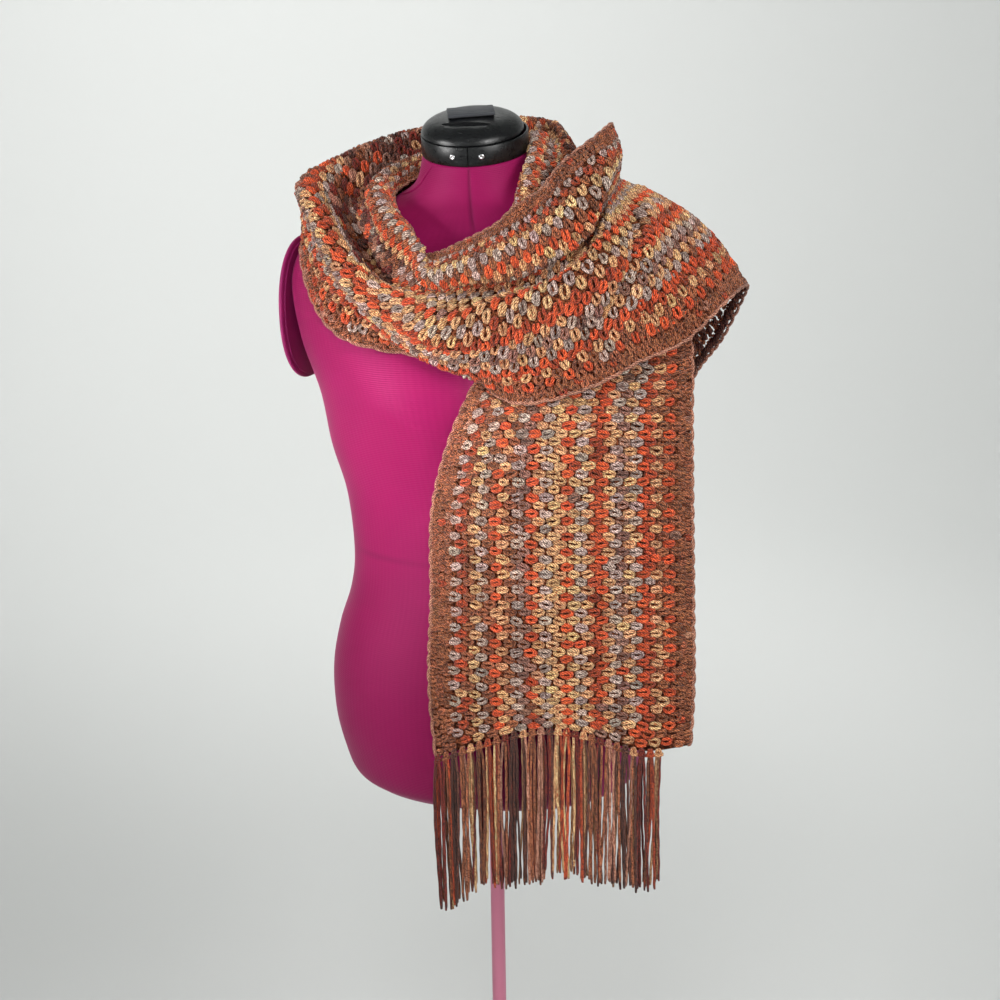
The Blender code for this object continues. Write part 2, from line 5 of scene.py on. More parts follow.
import bpy
import numpy as np
from mathutils import Matrix, Vector
from mathutils.bvhtree import BVHTree
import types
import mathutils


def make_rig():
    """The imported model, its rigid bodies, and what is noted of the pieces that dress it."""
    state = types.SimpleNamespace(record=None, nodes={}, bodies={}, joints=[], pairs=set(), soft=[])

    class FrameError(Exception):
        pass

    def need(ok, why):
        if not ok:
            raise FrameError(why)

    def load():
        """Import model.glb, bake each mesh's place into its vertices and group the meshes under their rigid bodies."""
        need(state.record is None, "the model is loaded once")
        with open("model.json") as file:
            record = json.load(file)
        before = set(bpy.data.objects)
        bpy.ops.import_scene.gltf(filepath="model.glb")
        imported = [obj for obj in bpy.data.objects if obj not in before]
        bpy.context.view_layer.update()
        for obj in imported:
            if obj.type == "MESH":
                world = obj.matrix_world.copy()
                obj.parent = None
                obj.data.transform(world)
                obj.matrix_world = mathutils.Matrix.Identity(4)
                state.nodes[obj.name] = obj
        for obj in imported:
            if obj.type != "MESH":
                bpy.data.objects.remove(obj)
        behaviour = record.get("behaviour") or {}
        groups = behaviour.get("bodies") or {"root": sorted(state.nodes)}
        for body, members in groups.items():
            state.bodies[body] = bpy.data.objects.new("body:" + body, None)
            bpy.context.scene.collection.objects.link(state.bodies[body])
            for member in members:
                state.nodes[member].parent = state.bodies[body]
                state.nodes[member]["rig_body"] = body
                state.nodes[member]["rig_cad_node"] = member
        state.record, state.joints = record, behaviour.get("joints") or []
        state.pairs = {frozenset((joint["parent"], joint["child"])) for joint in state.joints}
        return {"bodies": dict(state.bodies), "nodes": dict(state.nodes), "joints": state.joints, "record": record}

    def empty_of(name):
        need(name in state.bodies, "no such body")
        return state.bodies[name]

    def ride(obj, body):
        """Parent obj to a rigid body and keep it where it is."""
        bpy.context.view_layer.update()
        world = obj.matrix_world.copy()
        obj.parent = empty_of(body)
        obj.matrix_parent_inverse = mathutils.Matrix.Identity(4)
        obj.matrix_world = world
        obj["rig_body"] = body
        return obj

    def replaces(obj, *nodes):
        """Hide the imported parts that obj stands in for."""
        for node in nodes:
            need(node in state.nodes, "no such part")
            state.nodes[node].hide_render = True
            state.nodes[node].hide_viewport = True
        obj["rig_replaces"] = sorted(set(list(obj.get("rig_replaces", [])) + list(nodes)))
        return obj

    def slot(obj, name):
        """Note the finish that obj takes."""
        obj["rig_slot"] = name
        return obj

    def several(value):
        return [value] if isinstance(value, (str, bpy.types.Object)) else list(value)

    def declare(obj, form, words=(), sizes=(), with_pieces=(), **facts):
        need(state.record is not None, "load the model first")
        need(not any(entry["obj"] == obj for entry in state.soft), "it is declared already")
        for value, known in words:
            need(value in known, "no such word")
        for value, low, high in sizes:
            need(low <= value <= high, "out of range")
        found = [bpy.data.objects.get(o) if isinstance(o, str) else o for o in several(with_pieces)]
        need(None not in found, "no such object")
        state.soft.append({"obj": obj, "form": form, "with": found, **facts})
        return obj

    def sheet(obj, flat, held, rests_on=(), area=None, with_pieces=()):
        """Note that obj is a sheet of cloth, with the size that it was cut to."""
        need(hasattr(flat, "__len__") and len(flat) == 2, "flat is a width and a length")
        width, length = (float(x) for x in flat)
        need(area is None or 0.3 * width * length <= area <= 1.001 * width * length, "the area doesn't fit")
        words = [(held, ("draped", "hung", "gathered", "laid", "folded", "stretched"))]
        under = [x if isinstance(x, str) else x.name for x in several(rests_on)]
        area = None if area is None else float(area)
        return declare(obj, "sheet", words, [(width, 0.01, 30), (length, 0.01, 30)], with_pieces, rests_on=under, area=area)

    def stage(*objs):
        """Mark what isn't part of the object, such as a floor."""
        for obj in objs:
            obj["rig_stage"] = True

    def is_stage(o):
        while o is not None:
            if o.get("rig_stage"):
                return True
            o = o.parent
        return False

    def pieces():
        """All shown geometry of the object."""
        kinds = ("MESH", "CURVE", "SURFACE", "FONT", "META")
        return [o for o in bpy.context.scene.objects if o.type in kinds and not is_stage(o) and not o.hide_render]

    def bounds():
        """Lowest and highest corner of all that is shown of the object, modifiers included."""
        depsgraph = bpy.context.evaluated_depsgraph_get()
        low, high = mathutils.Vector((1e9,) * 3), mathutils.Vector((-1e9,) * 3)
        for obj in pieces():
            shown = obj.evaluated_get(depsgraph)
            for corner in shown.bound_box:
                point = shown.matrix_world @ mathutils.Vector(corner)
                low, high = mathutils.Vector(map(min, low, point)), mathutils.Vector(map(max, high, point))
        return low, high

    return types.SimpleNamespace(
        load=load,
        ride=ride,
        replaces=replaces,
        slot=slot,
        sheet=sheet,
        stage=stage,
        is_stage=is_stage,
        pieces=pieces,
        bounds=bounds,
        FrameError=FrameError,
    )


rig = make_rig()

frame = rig.load()
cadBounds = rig.bounds()

mm = 0.001
chance = np.random.default_rng(4282)  # one seeded source for all the unevenness


# small helpers
def linearColour(hexCode):
    parts = [int(hexCode[i:i + 2], 16) / 255 for i in (0, 2, 4)]
    return tuple(p / 12.92 if p <= 0.04045 else ((p + 0.055) / 1.055) ** 2.4 for p in parts) + (1.0,)


def setNode(tree, node, settings=None, links=None):
    # settings are the node's own values or its inputs' defaults, links go into its inputs
    for name, value in (settings or {}).items():
        if isinstance(name, str) and hasattr(node, name):
            setattr(node, name, value)
        else:
            node.inputs[name].default_value = value
    for name, socket in (links or {}).items():
        tree.links.new(socket, node.inputs[name])
    return node


def addNode(tree, kind, settings=None, links=None):
    return setNode(tree, tree.nodes.new(kind), settings, links)


def addMath(tree, operation, links, factor=0.5):
    # factor is what a multiplication multiplies by
    return addNode(tree, "ShaderNodeMath", {"operation": operation, 1: factor}, links).outputs["Value"]


def spotScale(width):
    # the scale at which a noise's spots are about this wide: a spot takes up most of a noise's cell
    spotPart = 0.84
    return spotPart / width


def addSpots(tree, width, detail, **settings):
    place = addNode(tree, "ShaderNodeTexCoord")
    spots = addNode(tree, "ShaderNodeTexNoise", {"Scale": spotScale(width), "Detail": detail, **settings},
                    {"Vector": place.outputs["Object"]})
    return spots.outputs["Fac"]


def addRange(tree, value, fromLow, fromHigh, toLow=0.0, toHigh=1.0):
    limits = {"From Min": fromLow, "From Max": fromHigh, "To Min": toLow, "To Max": toHigh}
    return addNode(tree, "ShaderNodeMapRange", limits, {"Value": value}).outputs["Result"]


def addTint(tree, factor, firstColour, secondColour):
    # from the first hex colour to the second
    ends = {6: linearColour(firstColour), 7: linearColour(secondColour)}
    return addNode(tree, "ShaderNodeMix", {"data_type": "RGBA", **ends}, {0: factor}).outputs[2]


def addBump(tree, height, strength, distance):
    return addNode(tree, "ShaderNodeBump", {"Strength": strength, "Distance": distance},
                   {"Height": height}).outputs["Normal"]


def newMaterial(name):
    material = bpy.data.materials.new(name)
    material.use_nodes = True
    tree = material.node_tree
    return material, tree, tree.nodes["Principled BSDF"]


def meshPiece(name, points, loops, starts, material):
    mesh = bpy.data.meshes.new(name)
    mesh.vertices.add(len(points))
    mesh.vertices.foreach_set("co", np.asarray(points, np.float32).ravel())
    mesh.loops.add(len(loops))
    mesh.loops.foreach_set("vertex_index", np.asarray(loops, np.int32))
    mesh.polygons.add(len(starts))
    mesh.polygons.foreach_set("loop_start", np.asarray(starts, np.int32))
    mesh.update(calc_edges=True)
    mesh.materials.append(material)
    mesh.shade_smooth()
    piece = bpy.data.objects.new(name, mesh)
    bpy.context.scene.collection.objects.link(piece)
    return piece


def polygonArrays(faces):
    totals = np.array([len(face) for face in faces])
    starts = np.concatenate([[0], np.cumsum(totals)[:-1]])
    return np.concatenate([np.asarray(face) for face in faces]), starts


def settle(piece, slot, *nodes):
    # the piece rides on the one body, takes its slot's finish and stands for these CAD nodes
    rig.ride(piece, "root")
    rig.slot(piece, slot)
    if nodes:
        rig.replaces(piece, *nodes)
    return piece


def deselectAll():
    bpy.ops.object.select_all(action="DESELECT")


def placeIn(piece, matrix):
    # bakes a place and a turn into the mesh
    piece.data.transform(matrix @ piece.matrix_world)
    piece.matrix_world = Matrix.Identity(4)


def extrudedRings(name, segments, halfSizes, rings, squareness=2.0):
    # a filled outline, extruded and scaled ring by ring: each ring is its height and how far it is drawn in
    deselectAll()
    bpy.ops.mesh.primitive_circle_add(vertices=segments, radius=1.0, fill_type="NGON")
    piece = bpy.context.object
    piece.name = piece.data.name = name
    height, inset = rings[0]
    for corner in piece.data.vertices:
        turn = math.atan2(corner.co.y, corner.co.x)
        corner.co = (*superellipse(turn, halfSizes[0] - inset, halfSizes[1] - inset, squareness), height)
    bpy.ops.object.mode_set(mode="EDIT")
    bpy.ops.mesh.select_all(action="SELECT")
    for (low, before), (high, after) in zip(rings, rings[1:]):
        bpy.ops.mesh.extrude_region_move(TRANSFORM_OT_translate={"value": (0, 0, high - low)})
        ratios = [(half - after) / (half - before) for half in halfSizes]
        bpy.ops.transform.resize(value=(*ratios, 1.0))
    bpy.ops.mesh.select_all(action="SELECT")
    bpy.ops.mesh.normals_make_consistent(inside=False)
    bpy.ops.object.mode_set(mode="OBJECT")
    return piece


def standingOut(spot, outward):
    # a place whose Z axis points level outward and whose Y axis points up
    aside = Vector((-outward[1], outward[0], 0))
    return Matrix.Translation(spot) @ Matrix((aside, (0, 0, 1), outward)).transposed().to_4x4()


def smoothShaded(piece, material, sharpAngle):
    piece.data.materials.append(material)
    piece.data.shade_smooth()
    piece.data.set_sharp_from_angle(angle=math.radians(sharpAngle))


# camera, light and floor
photoCamera = {
    "place": (0.3492, -1.7964, 1.5),
    "turn": 10.675,  # degrees, all three
    "tilt": 74.3,
    "roll": -0.9,
    "lens": 60.12,
    "sensor": 36,
}
studio = {
    "floorRadius": 3.2,
    "floorSegments": 96,
    "sweepRadius": 2.2,  # how the floor curves up into a backdrop all round
    "sweepHeight": 4.2,
    "sweepSteps": 12,
    "floorColour": "cacccb",
    "skyColour": "f2f4f7",
    "skyStrength": 0.26,
    "lampColour": "fffefd",
    # name, place, size, power, spread in degrees, target, seen in gloss
    "lamps": (
        ("frontLamp", (0.15, -1.75, 2.6), 0.8, 5.4, 84, (0.05, 0.0, 1.15), False),
        ("leftLamp", (-1.55, -1.2, 1.3), 1.0, 4.6, 64, (-0.1, 0.0, 1.2), True),
        ("chestLamp", (-0.9, -1.75, 0.95), 0.25, 0.36, 14, (-0.1, -0.15, 1.08), True),
        ("rightLamp", (1.8, -1.5, 1.7), 1.3, 15, 110, (0.0, 0.0, 1.1), True),
        ("floorLamp", (0.2, 1.7, 3.4), 1.5, 5, 70, (0.2, 1.7, 0.0), False),
        ("wallLamp", (-1.1, 2.4, 3.6), 2.2, 134, 180, (-1.1, 4.9, 1.2), False),
        ("frontWallLamp", (0.6, -2.4, 3.6), 2.2, 80, 180, (0.6, -4.9, 1.2), False),
        ("backLamp", (-0.4, 1.9, 2.3), 1.0, 5, 60, (0.0, 0.0, 1.0), False),
    ),
}


def makeCamera():
    lens = bpy.data.cameras.new("photoCamera")
    lens.lens = photoCamera["lens"]
    lens.sensor_width = photoCamera["sensor"]
    camera = bpy.data.objects.new("photoCamera", lens)
    angles = [math.radians(photoCamera[name]) for name in ("turn", "tilt", "roll")]
    facing = Matrix.Rotation(angles[0], 4, "Z") @ Matrix.Rotation(angles[1], 4, "X")
    facing = facing @ Matrix.Rotation(angles[2], 4, "Z")
    camera.matrix_world = Matrix.Translation(photoCamera["place"]) @ facing
    bpy.context.scene.collection.objects.link(camera)
    bpy.context.scene.camera = camera


def makeLight(name, place, size, power, spread, target, glossy):
    lamp = bpy.data.lights.new(name, "AREA")
    lamp.shape = "DISK"
    lamp.size = size
    lamp.energy = power
    lamp.spread = math.radians(spread)
    lamp.color = linearColour(studio["lampColour"])[:3]
    light = bpy.data.objects.new(name, lamp)
    light.location = place
    aim = Vector(target) - light.location
    light.rotation_euler = aim.to_track_quat("-Z", "Y").to_euler()
    light.visible_glossy = glossy
    bpy.context.scene.collection.objects.link(light)


def makeLights():
    world = bpy.data.worlds.new("studioSky")
    world.use_nodes = True
    bpy.context.scene.world = world
    sky = world.node_tree.nodes["Background"]
    sky.inputs["Color"].default_value = linearColour(studio["skyColour"])
    sky.inputs["Strength"].default_value = studio["skyStrength"]
    for lamp in studio["lamps"]:
        makeLight(*lamp)
    print("camera and lights made")


def makeFloor():
    # matt painted board: a pale floor that curves up all round
    board, tree, shader = newMaterial("mattPaintedBoard")
    setNode(tree, shader, {
        "Base Color": linearColour(studio["floorColour"]),
        "Roughness": 0.9,
        "Specular IOR Level": 0.2,
    })
    deselectAll()
    bpy.ops.mesh.primitive_circle_add(vertices=studio["floorSegments"], radius=studio["floorRadius"],
                                      fill_type="NGON")
    floor = bpy.context.object
    floor.name = floor.data.name = "floor"
    bpy.ops.object.mode_set(mode="EDIT")
    bpy.ops.mesh.select_mode(type="EDGE")
    bpy.ops.mesh.select_all(action="DESELECT")
    bpy.ops.mesh.select_non_manifold()
    turns = np.linspace(0, math.pi / 2, studio["sweepSteps"] + 1)
    radii = list(studio["floorRadius"] + studio["sweepRadius"] * np.sin(turns))
    heights = list(studio["sweepRadius"] * (1 - np.cos(turns)))
    radii.append(radii[-1])
    heights.append(studio["sweepHeight"])
    for before, after, low, high in zip(radii, radii[1:], heights, heights[1:]):
        bpy.ops.mesh.extrude_region_move(TRANSFORM_OT_translate={"value": (0, 0, high - low)})
        bpy.ops.transform.resize(value=(after / before, after / before, 1.0))
    bpy.ops.mesh.select_mode(type="VERT")
    bpy.ops.object.mode_set(mode="OBJECT")
    floor.data.materials.append(board)
    floor.data.shade_smooth()
    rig.stage(floor)
    print("floor made")


# shared shape functions
def smoothThrough(knots, values, places):
    # the smooth curve through the values at the knots, read at the places
    knots, values, places = (np.asarray(item, float) for item in (knots, values, places))
    steps = np.diff(knots).reshape(-1, *[1] * (values.ndim - 1))
    slopes = np.diff(values, axis=0) / steps
    inner = (slopes[:-1] * steps[1:] + slopes[1:] * steps[:-1]) / (steps[:-1] + steps[1:])
    tangents = np.concatenate([slopes[:1], inner, slopes[-1:]])
    left = np.clip(np.searchsorted(knots, places, side="right") - 1, 0, len(knots) - 2)
    step = steps[left]
    part = ((places - knots[left]) / np.diff(knots)[left]).reshape(step.shape)
    start = (1 + 2 * part) * (1 - part) ** 2
    leave = part * (1 - part) ** 2
    end = part**2 * (3 - 2 * part)
    arrive = part**2 * (part - 1)
    return (
        start * values[left]
        + leave * step * tangents[left]
        + end * values[left + 1]
        + arrive * step * tangents[left + 1]
    )


def superellipse(angles, halfWidth, halfDepth, squareness):
    across, along = np.cos(angles), np.sin(angles)
    power = 2 / squareness
    return (
        np.sign(across) * np.abs(across) ** power * halfWidth,
        np.sign(along) * np.abs(along) ** power * halfDepth,
    )


def ringFaces(levels, count):
    # quads between equal rings, from the bottom up, with both ends closed
    faces = [tuple(reversed(range(count)))]
    for level in range(levels - 1):
        low, high = level * count, (level + 1) * count
        faces += [(low + i, low + (i + 1) % count, high + (i + 1) % count, high + i) for i in range(count)]
    last = (levels - 1) * count
    faces.append(tuple(last + i for i in range(count)))
    return faces


def unit(vectors):
    return vectors / np.maximum(np.linalg.norm(vectors, axis=-1, keepdims=True), 1e-9)


def yarnTubes(paths, ups, radii, colours, flecks, sides, winding=1.0, grain=0.0):
    # arrays of a bundle of tubes: paths and ups are tubes by points by 3, radii tubes by points, winding
    # is how tight the twist is and grain how much the brightness varies from point to point
    count, steps = paths.shape[:2]
    ahead = unit(np.gradient(paths, axis=1))
    aside = unit(np.cross(ahead, ups))
    lift = np.cross(aside, ahead)
    turns = np.arange(sides) * 2 * math.pi / sides
    ring = (np.cos(turns)[None, None, :, None] * aside[:, :, None]
            + np.sin(turns)[None, None, :, None] * lift[:, :, None])
    points = paths[:, :, None] + ring * radii[:, :, None, None]
    first = (np.arange(count) * steps * sides)[:, None, None]
    i = np.arange(steps - 1)[None, :, None]
    j = np.arange(sides)[None, None, :]
    j2 = (j + 1) % sides
    quads = np.stack([first + i * sides + j, first + (i + 1) * sides + j,
                      first + (i + 1) * sides + j2, first + i * sides + j2], axis=3).reshape(-1, 4)
    start = (first[:, 0] + np.arange(sides)[None]).reshape(-1, sides)
    end = (first[:, 0] + (steps - 1) * sides + np.arange(sides)[None, ::-1]).reshape(-1, sides)
    # the map: turn round the tube, and length along it in mm from a chance start in the twist
    lengths = np.linalg.norm(np.diff(paths, axis=1), axis=2)
    run = np.concatenate([np.zeros((count, 1)), np.cumsum(lengths, axis=1)], axis=1)
    run = run * winding / mm + chance.uniform(0, yarn["twistStart"], (count, 1))
    u = np.broadcast_to(j / sides, (count, steps - 1, sides))
    v0 = np.broadcast_to(run[:, :-1, None], u.shape)
    v1 = np.broadcast_to(run[:, 1:, None], u.shape)
    corners = ((u, v0), (u, v1), (u + 1 / sides, v1), (u + 1 / sides, v0))
    uv = np.stack([np.stack(corner, -1) for corner in corners], axis=3).reshape(-1, 2)
    bright = chance.normal(yarn["brightness"], grain, (count * steps * sides, 1))
    shade = bright.clip(*yarn["brightLimits"]) * (1, 1, 1, 0) + (0, 0, 0, 1)
    return {
        "points": points.reshape(-1, 3),
        "quads": quads,
        "caps": np.concatenate([start, end]),
        "uv": uv,
        "capUv": np.zeros((2 * count * sides, 2)),
        "colour": np.repeat(colours, steps * sides, axis=0) * shade,
        "fleck": np.repeat(flecks, steps * sides, axis=0),
    }


# the dress form
# height, half width, front and back in mm, then how square the ring is
formSections = (
    (652, 152, -108, 113, 2.2),
    (664, 168, -119, 125, 2.2),
    (690, 178, -126, 132, 2.2),
    (735, 188, -132, 140, 2.2),
    (790, 189, -132, 142, 2.2),
    (840, 179, -125, 132, 2.2),
    (885, 164, -115, 116, 2.15),
    (930, 158, -110, 104, 2.15),
    (1000, 162, -116, 98, 2.15),
    (1060, 175, -132, 100, 2.2),
    (1120, 183, -144, 106, 2.3),
    (1180, 204, -138, 110, 2.4),
    (1240, 216, -118, 108, 2.4),
    (1275, 203, -101, 98, 2.3),
    (1300, 168, -96, 80, 2.2),
    (1318, 120, -99, 54, 2.1),
    (1333, 86, -104, 30, 2.0),
    (1350, 64, -107, 16, 2.0),
    (1380, 55, -109, 9, 2.0),
)
form = {
    "levels": 200,
    "segments": 160,
    "seamColumns": (0.012, 0.026, 0.045),  # turns at which extra columns stand beside the front seam
    "bustHeight": 1150 * mm,
    "bustOffset": 82 * mm,
    "bustReach": (62 * mm, 70 * mm),
    "bustDepth": 20 * mm,
    "neckStart": 1318 * mm,
    "neckTop": 1380 * mm,
    "neckCentreY": -50 * mm,
    "neckRadius": 56 * mm,
    "neckLean": math.radians(13),
    "plateInset": 203 * mm,
    "plateTurn": math.radians(12),
    "seamDepth": 1.3 * mm,
    "waistDepth": 0.35,  # part of the front seam's depth
    "seamPlace": 3.9 * mm,  # the front seam stands a little to the form's left
    "seamEnd": 1250 * mm,  # and is lost in the knit below this
    "seamFade": 40 * mm,
    "seamWidth": (0.9 * mm, 2.2 * mm),  # half width of the front seam, at the neck's top and at its base
    "seamFall": (1385 * mm, 1290 * mm),  # from the neck's top to its base
    "seamLeast": 0.55,  # part of its depth that the front seam has at the top
    "neckFold": ((-38, -96, 1368), (-47, -92, 1361), (-58, -80, 1349), (-71, -66, 1338), (-84, -44, 1328)),
    "foldRadius": 1.5 * mm,
    "foldSteps": 25,
    "foldSides": 8,
    "waistHeight": (940 * mm, 932 * mm),  # the waist seam dips to the back
    "waistReach": (-110 * mm, 110 * mm),  # from its front to its back
    "waistCentreY": -10 * mm,
    "waistWidth": 1.0 * mm,
    "colour": "8a164d",
    "shadeColour": "630937",
    "ribPitch": 2.3 * mm,  # the real knit is nearer 1 mm, too fine to show at this size
    "ribDepth": 0.22 * mm,
    "ribWander": (60 * mm, 1.6),  # its width, and how far it shifts the ribs' sine, in radians
    "patchWidth": 168 * mm,  # of the knit's lighter and darker patches
    # painted shade: these darken the seams' grooves in colour, as shade falls in them
    "seamShadeColour": "4f0a2c",
    "seamShadeStrength": 0.9,
}


def formRings(levels, angles):
    table = np.array(formSections, float)
    table[:, :4] *= mm
    rows = smoothThrough(np.arange(len(table)), table, np.linspace(0, len(table) - 1, levels))
    rings = []
    for height, halfWidth, front, back, squareness in rows:
        across, along = superellipse(angles, halfWidth, (back - front) / 2, squareness)
        along = along + (front + back) / 2
        facing = np.clip(-np.sin(angles), 0, 1)
        side = (np.abs(across) - form["bustOffset"]) / form["bustReach"][0]
        rise = (height - form["bustHeight"]) / form["bustReach"][1]
        along = along - form["bustDepth"] * facing * np.exp(-(side**2) - rise**2)
        flat = form["plateInset"] - along * math.tan(form["plateTurn"])
        across = np.clip(across, -flat, flat)
        lean = np.clip((height - form["neckStart"]) / (form["neckTop"] - form["neckStart"]), 0, 1)
        upward = height + lean * math.tan(form["neckLean"]) * (along - form["neckCentreY"])
        rings.append(np.stack([across, along, upward], axis=1))
    return np.array(rings)


def makeJersey():
    # polyamide jersey stretched over the form: matt, with a faint lit nap where it turns away
    material, tree, shader = newMaterial("polyamideJersey")
    uv = addNode(tree, "ShaderNodeUVMap", {"uv_map": "knit"})
    split = addNode(tree, "ShaderNodeSeparateXYZ", links={"Vector": uv.outputs["UV"]})
    # fine ribs run level round the form, and wander a little
    width, reach = form["ribWander"]
    waver = addSpots(tree, width, 2.0)
    wander = addMath(tree, "MULTIPLY_ADD", {0: waver, 2: split.outputs["Y"]}, factor=reach)
    ribs = addMath(tree, "SINE", {0: wander})
    loops = addMath(tree, "SINE", {0: split.outputs["X"]})
    both = addMath(tree, "MULTIPLY_ADD", {0: loops, 2: ribs}, factor=0.35)
    patches = addSpots(tree, form["patchWidth"], 3.0, Roughness=0.6)
    tone = addRange(tree, both, -1.35, 1.35, 0.0, 0.22)
    patchTone = addMath(tree, "MULTIPLY_ADD", {0: patches, 2: tone}, factor=0.35)
    knit = addTint(tree, patchTone, form["colour"], form["shadeColour"])
    # painted shade in the seam grooves, following the groove's depth
    seam = addNode(tree, "ShaderNodeAttribute", {"attribute_name": "seamShade"})
    dark = addNode(tree, "ShaderNodeMix", {"data_type": "RGBA", 7: linearColour(form["seamShadeColour"])},
                   {0: seam.outputs["Fac"], 6: knit})
    setNode(tree, shader, {
        "Roughness": 0.52,
        "Specular IOR Level": 0.28,
        "Specular Tint": linearColour("ff9ccf"),
        "Sheen Weight": 0.14,
        "Sheen Roughness": 0.35,
        "Sheen Tint": linearColour("f08cc4"),
    }, {"Base Color": dark.outputs[2], "Normal": addBump(tree, both, 0.35, form["ribDepth"])})
    return material


def makeForm():
    even = np.arange(form["segments"]) * 2 * math.pi / form["segments"]
    near = np.array(form["seamColumns"])
    middle = 1.5 * math.pi + form["seamPlace"] / form["neckRadius"]
    angles = np.unique(np.concatenate([even, middle - near, [middle], middle + near]))
    rings = formRings(form["levels"], angles)
    levels, count = rings.shape[:2]
    # the centre-front seam sinks in, wider towards the neck's base, and so does the waist seam
    height = rings[:, :, 2]
    top, base = form["seamFall"]
    fall = np.clip((top - height) / (top - base), 0, 1)
    narrow, wide = form["seamWidth"]
    seamWidth = narrow + (wide - narrow) * fall
    front = rings[:, :, 1] < form["neckCentreY"]
    seam = np.exp(-(((rings[:, :, 0] - form["seamPlace"]) / seamWidth) ** 2)) * front
    seam *= np.clip((height - form["seamEnd"]) / form["seamFade"], 0, 1)
    low, high = form["waistHeight"]
    depthPart = np.interp(rings[:, :, 1], form["waistReach"], (0, 1))
    waist = np.exp(-(((height - low + (low - high) * depthPart) / form["waistWidth"]) ** 2))
    seam *= form["seamLeast"] + (1 - form["seamLeast"]) * fall
    groove = np.clip(seam + form["waistDepth"] * waist, 0, 1)
    inward = (0, form["waistCentreY"]) - rings[:, :, :2]
    inward /= np.linalg.norm(inward, axis=2, keepdims=True)
    rings[:, :, :2] += inward * (groove * form["seamDepth"])[:, :, None]

    faces = ringFaces(levels, count)
    loops, starts = polygonArrays(faces)
    piece = meshPiece("dressFormJersey", rings.reshape(-1, 3), loops, starts, makeJersey())
    # the grooves' depth, kept as painted shade for the knit's colour
    shade = piece.data.attributes.new("seamShade", "FLOAT", "POINT")
    shade.data.foreach_set("value", (groove * form["seamShadeStrength"]).ravel().astype(np.float32))
    # the knit's own map: ribs by height along the surface, loops by turn round it
    rise = np.linalg.norm(np.diff(rings, axis=0), axis=2).mean(axis=1)
    rise = np.concatenate([[0], np.cumsum(rise)])
    up = np.repeat(rise, count) * 2 * math.pi / form["ribPitch"]
    around = np.tile(np.arange(count) * 2 * math.pi, levels)
    uv = piece.data.uv_layers.new(name="knit")
    uv.data.foreach_set("uv", np.stack([around[loops], up[loops]], axis=1).astype(np.float32).ravel())
    settle(piece, "knit", "form_body")

    # the turned edge of the knit at the neck's base, as a soft cord laid on the form
    surface = BVHTree.FromPolygons([tuple(p) for p in rings.reshape(-1, 3)], faces)
    knots = np.array(form["neckFold"], float) * mm
    line = smoothThrough(np.arange(len(knots)), knots, np.linspace(0, len(knots) - 1, form["foldSteps"]))
    found = [surface.find_nearest(tuple(spot))[:2] for spot in line]
    line = np.array([spot for spot, _ in found])
    outward = np.array([normal for _, normal in found])
    way = np.linspace(0, 1, len(line))
    radii = form["foldRadius"] * np.sqrt(np.sin(way * math.pi)).clip(0.05)
    white = np.ones((1, 4))
    tube = yarnTubes(line[None], outward[None], radii[None], white, white, form["foldSides"])
    faces = [tuple(face) for face in tube["quads"]] + [tuple(face) for face in tube["caps"]]
    edge = meshPiece("neckFoldEdge", tube["points"], *polygonArrays(faces), piece.data.materials[0])
    edge.data.uv_layers.new(name="knit")
    settle(edge, "knit")
    print("dress form made")


# arm plates
plate = {
    "centreHeight": 1205 * mm,
    "halfHeight": 80 * mm,
    "halfDepth": 60 * mm,
    "squareness": 2.2,
    "seamGap": 0.3 * mm,
    "colour": "7a1850",
    "faceColour": "93205e",
    "weaveWidth": 14 / 15 * mm,
    "weaveDepth": 0.1 * mm,
    "blotchWidth": 28 * mm,
    "segments": 120,
    # how far out each ring stands and how far it is drawn in, in mm: a narrow neck against the form
    # leaves the dark line, then the rim rounds out to the face
    "rings": ((0.0, 5.0), (1.9, 5.0), (2.1, 1.4), (2.7, 0.5), (3.8, 0.0), (5.2, 0.2), (6.3, 1.1), (6.8, 2.6),
              (7.0, 5.0), (6.2, 8.0), (5.9, 14.0), (5.8, 30.0)),
}


def makePlates():
    # dark satin cloth drawn over the plate and glued down
    material, tree, shader = newMaterial("polyesterSatin")
    weave = addSpots(tree, plate["weaveWidth"], 2.0)
    blotches = addSpots(tree, plate["blotchWidth"], 3.0)
    setNode(tree, shader, {
        "Roughness": 0.6,
        "Specular IOR Level": 0.25,
        "Sheen Weight": 0.06,
        "Sheen Tint": linearColour("d06a9c"),
    }, {
        "Base Color": addTint(tree, blotches, plate["colour"], plate["faceColour"]),
        "Normal": addBump(tree, weave, 0.3, plate["weaveDepth"]),
    })
    rings = [(depth * mm, inset * mm) for depth, inset in plate["rings"]]
    for side, word in ((1, "left"), (-1, "right")):
        outward = Vector((side * math.cos(form["plateTurn"]), math.sin(form["plateTurn"]), 0.0))
        centre = Vector((side * form["plateInset"], 0.0, plate["centreHeight"])) + outward * plate["seamGap"]
        piece = extrudedRings("armPlate" + word.capitalize(), plate["segments"],
                              (plate["halfDepth"], plate["halfHeight"]), rings, plate["squareness"])
        smoothShaded(piece, material, 60)
        placeIn(piece, standingOut(centre, outward))
        settle(piece, "plate", "arm_plate_" + word)
    print("arm plates made")


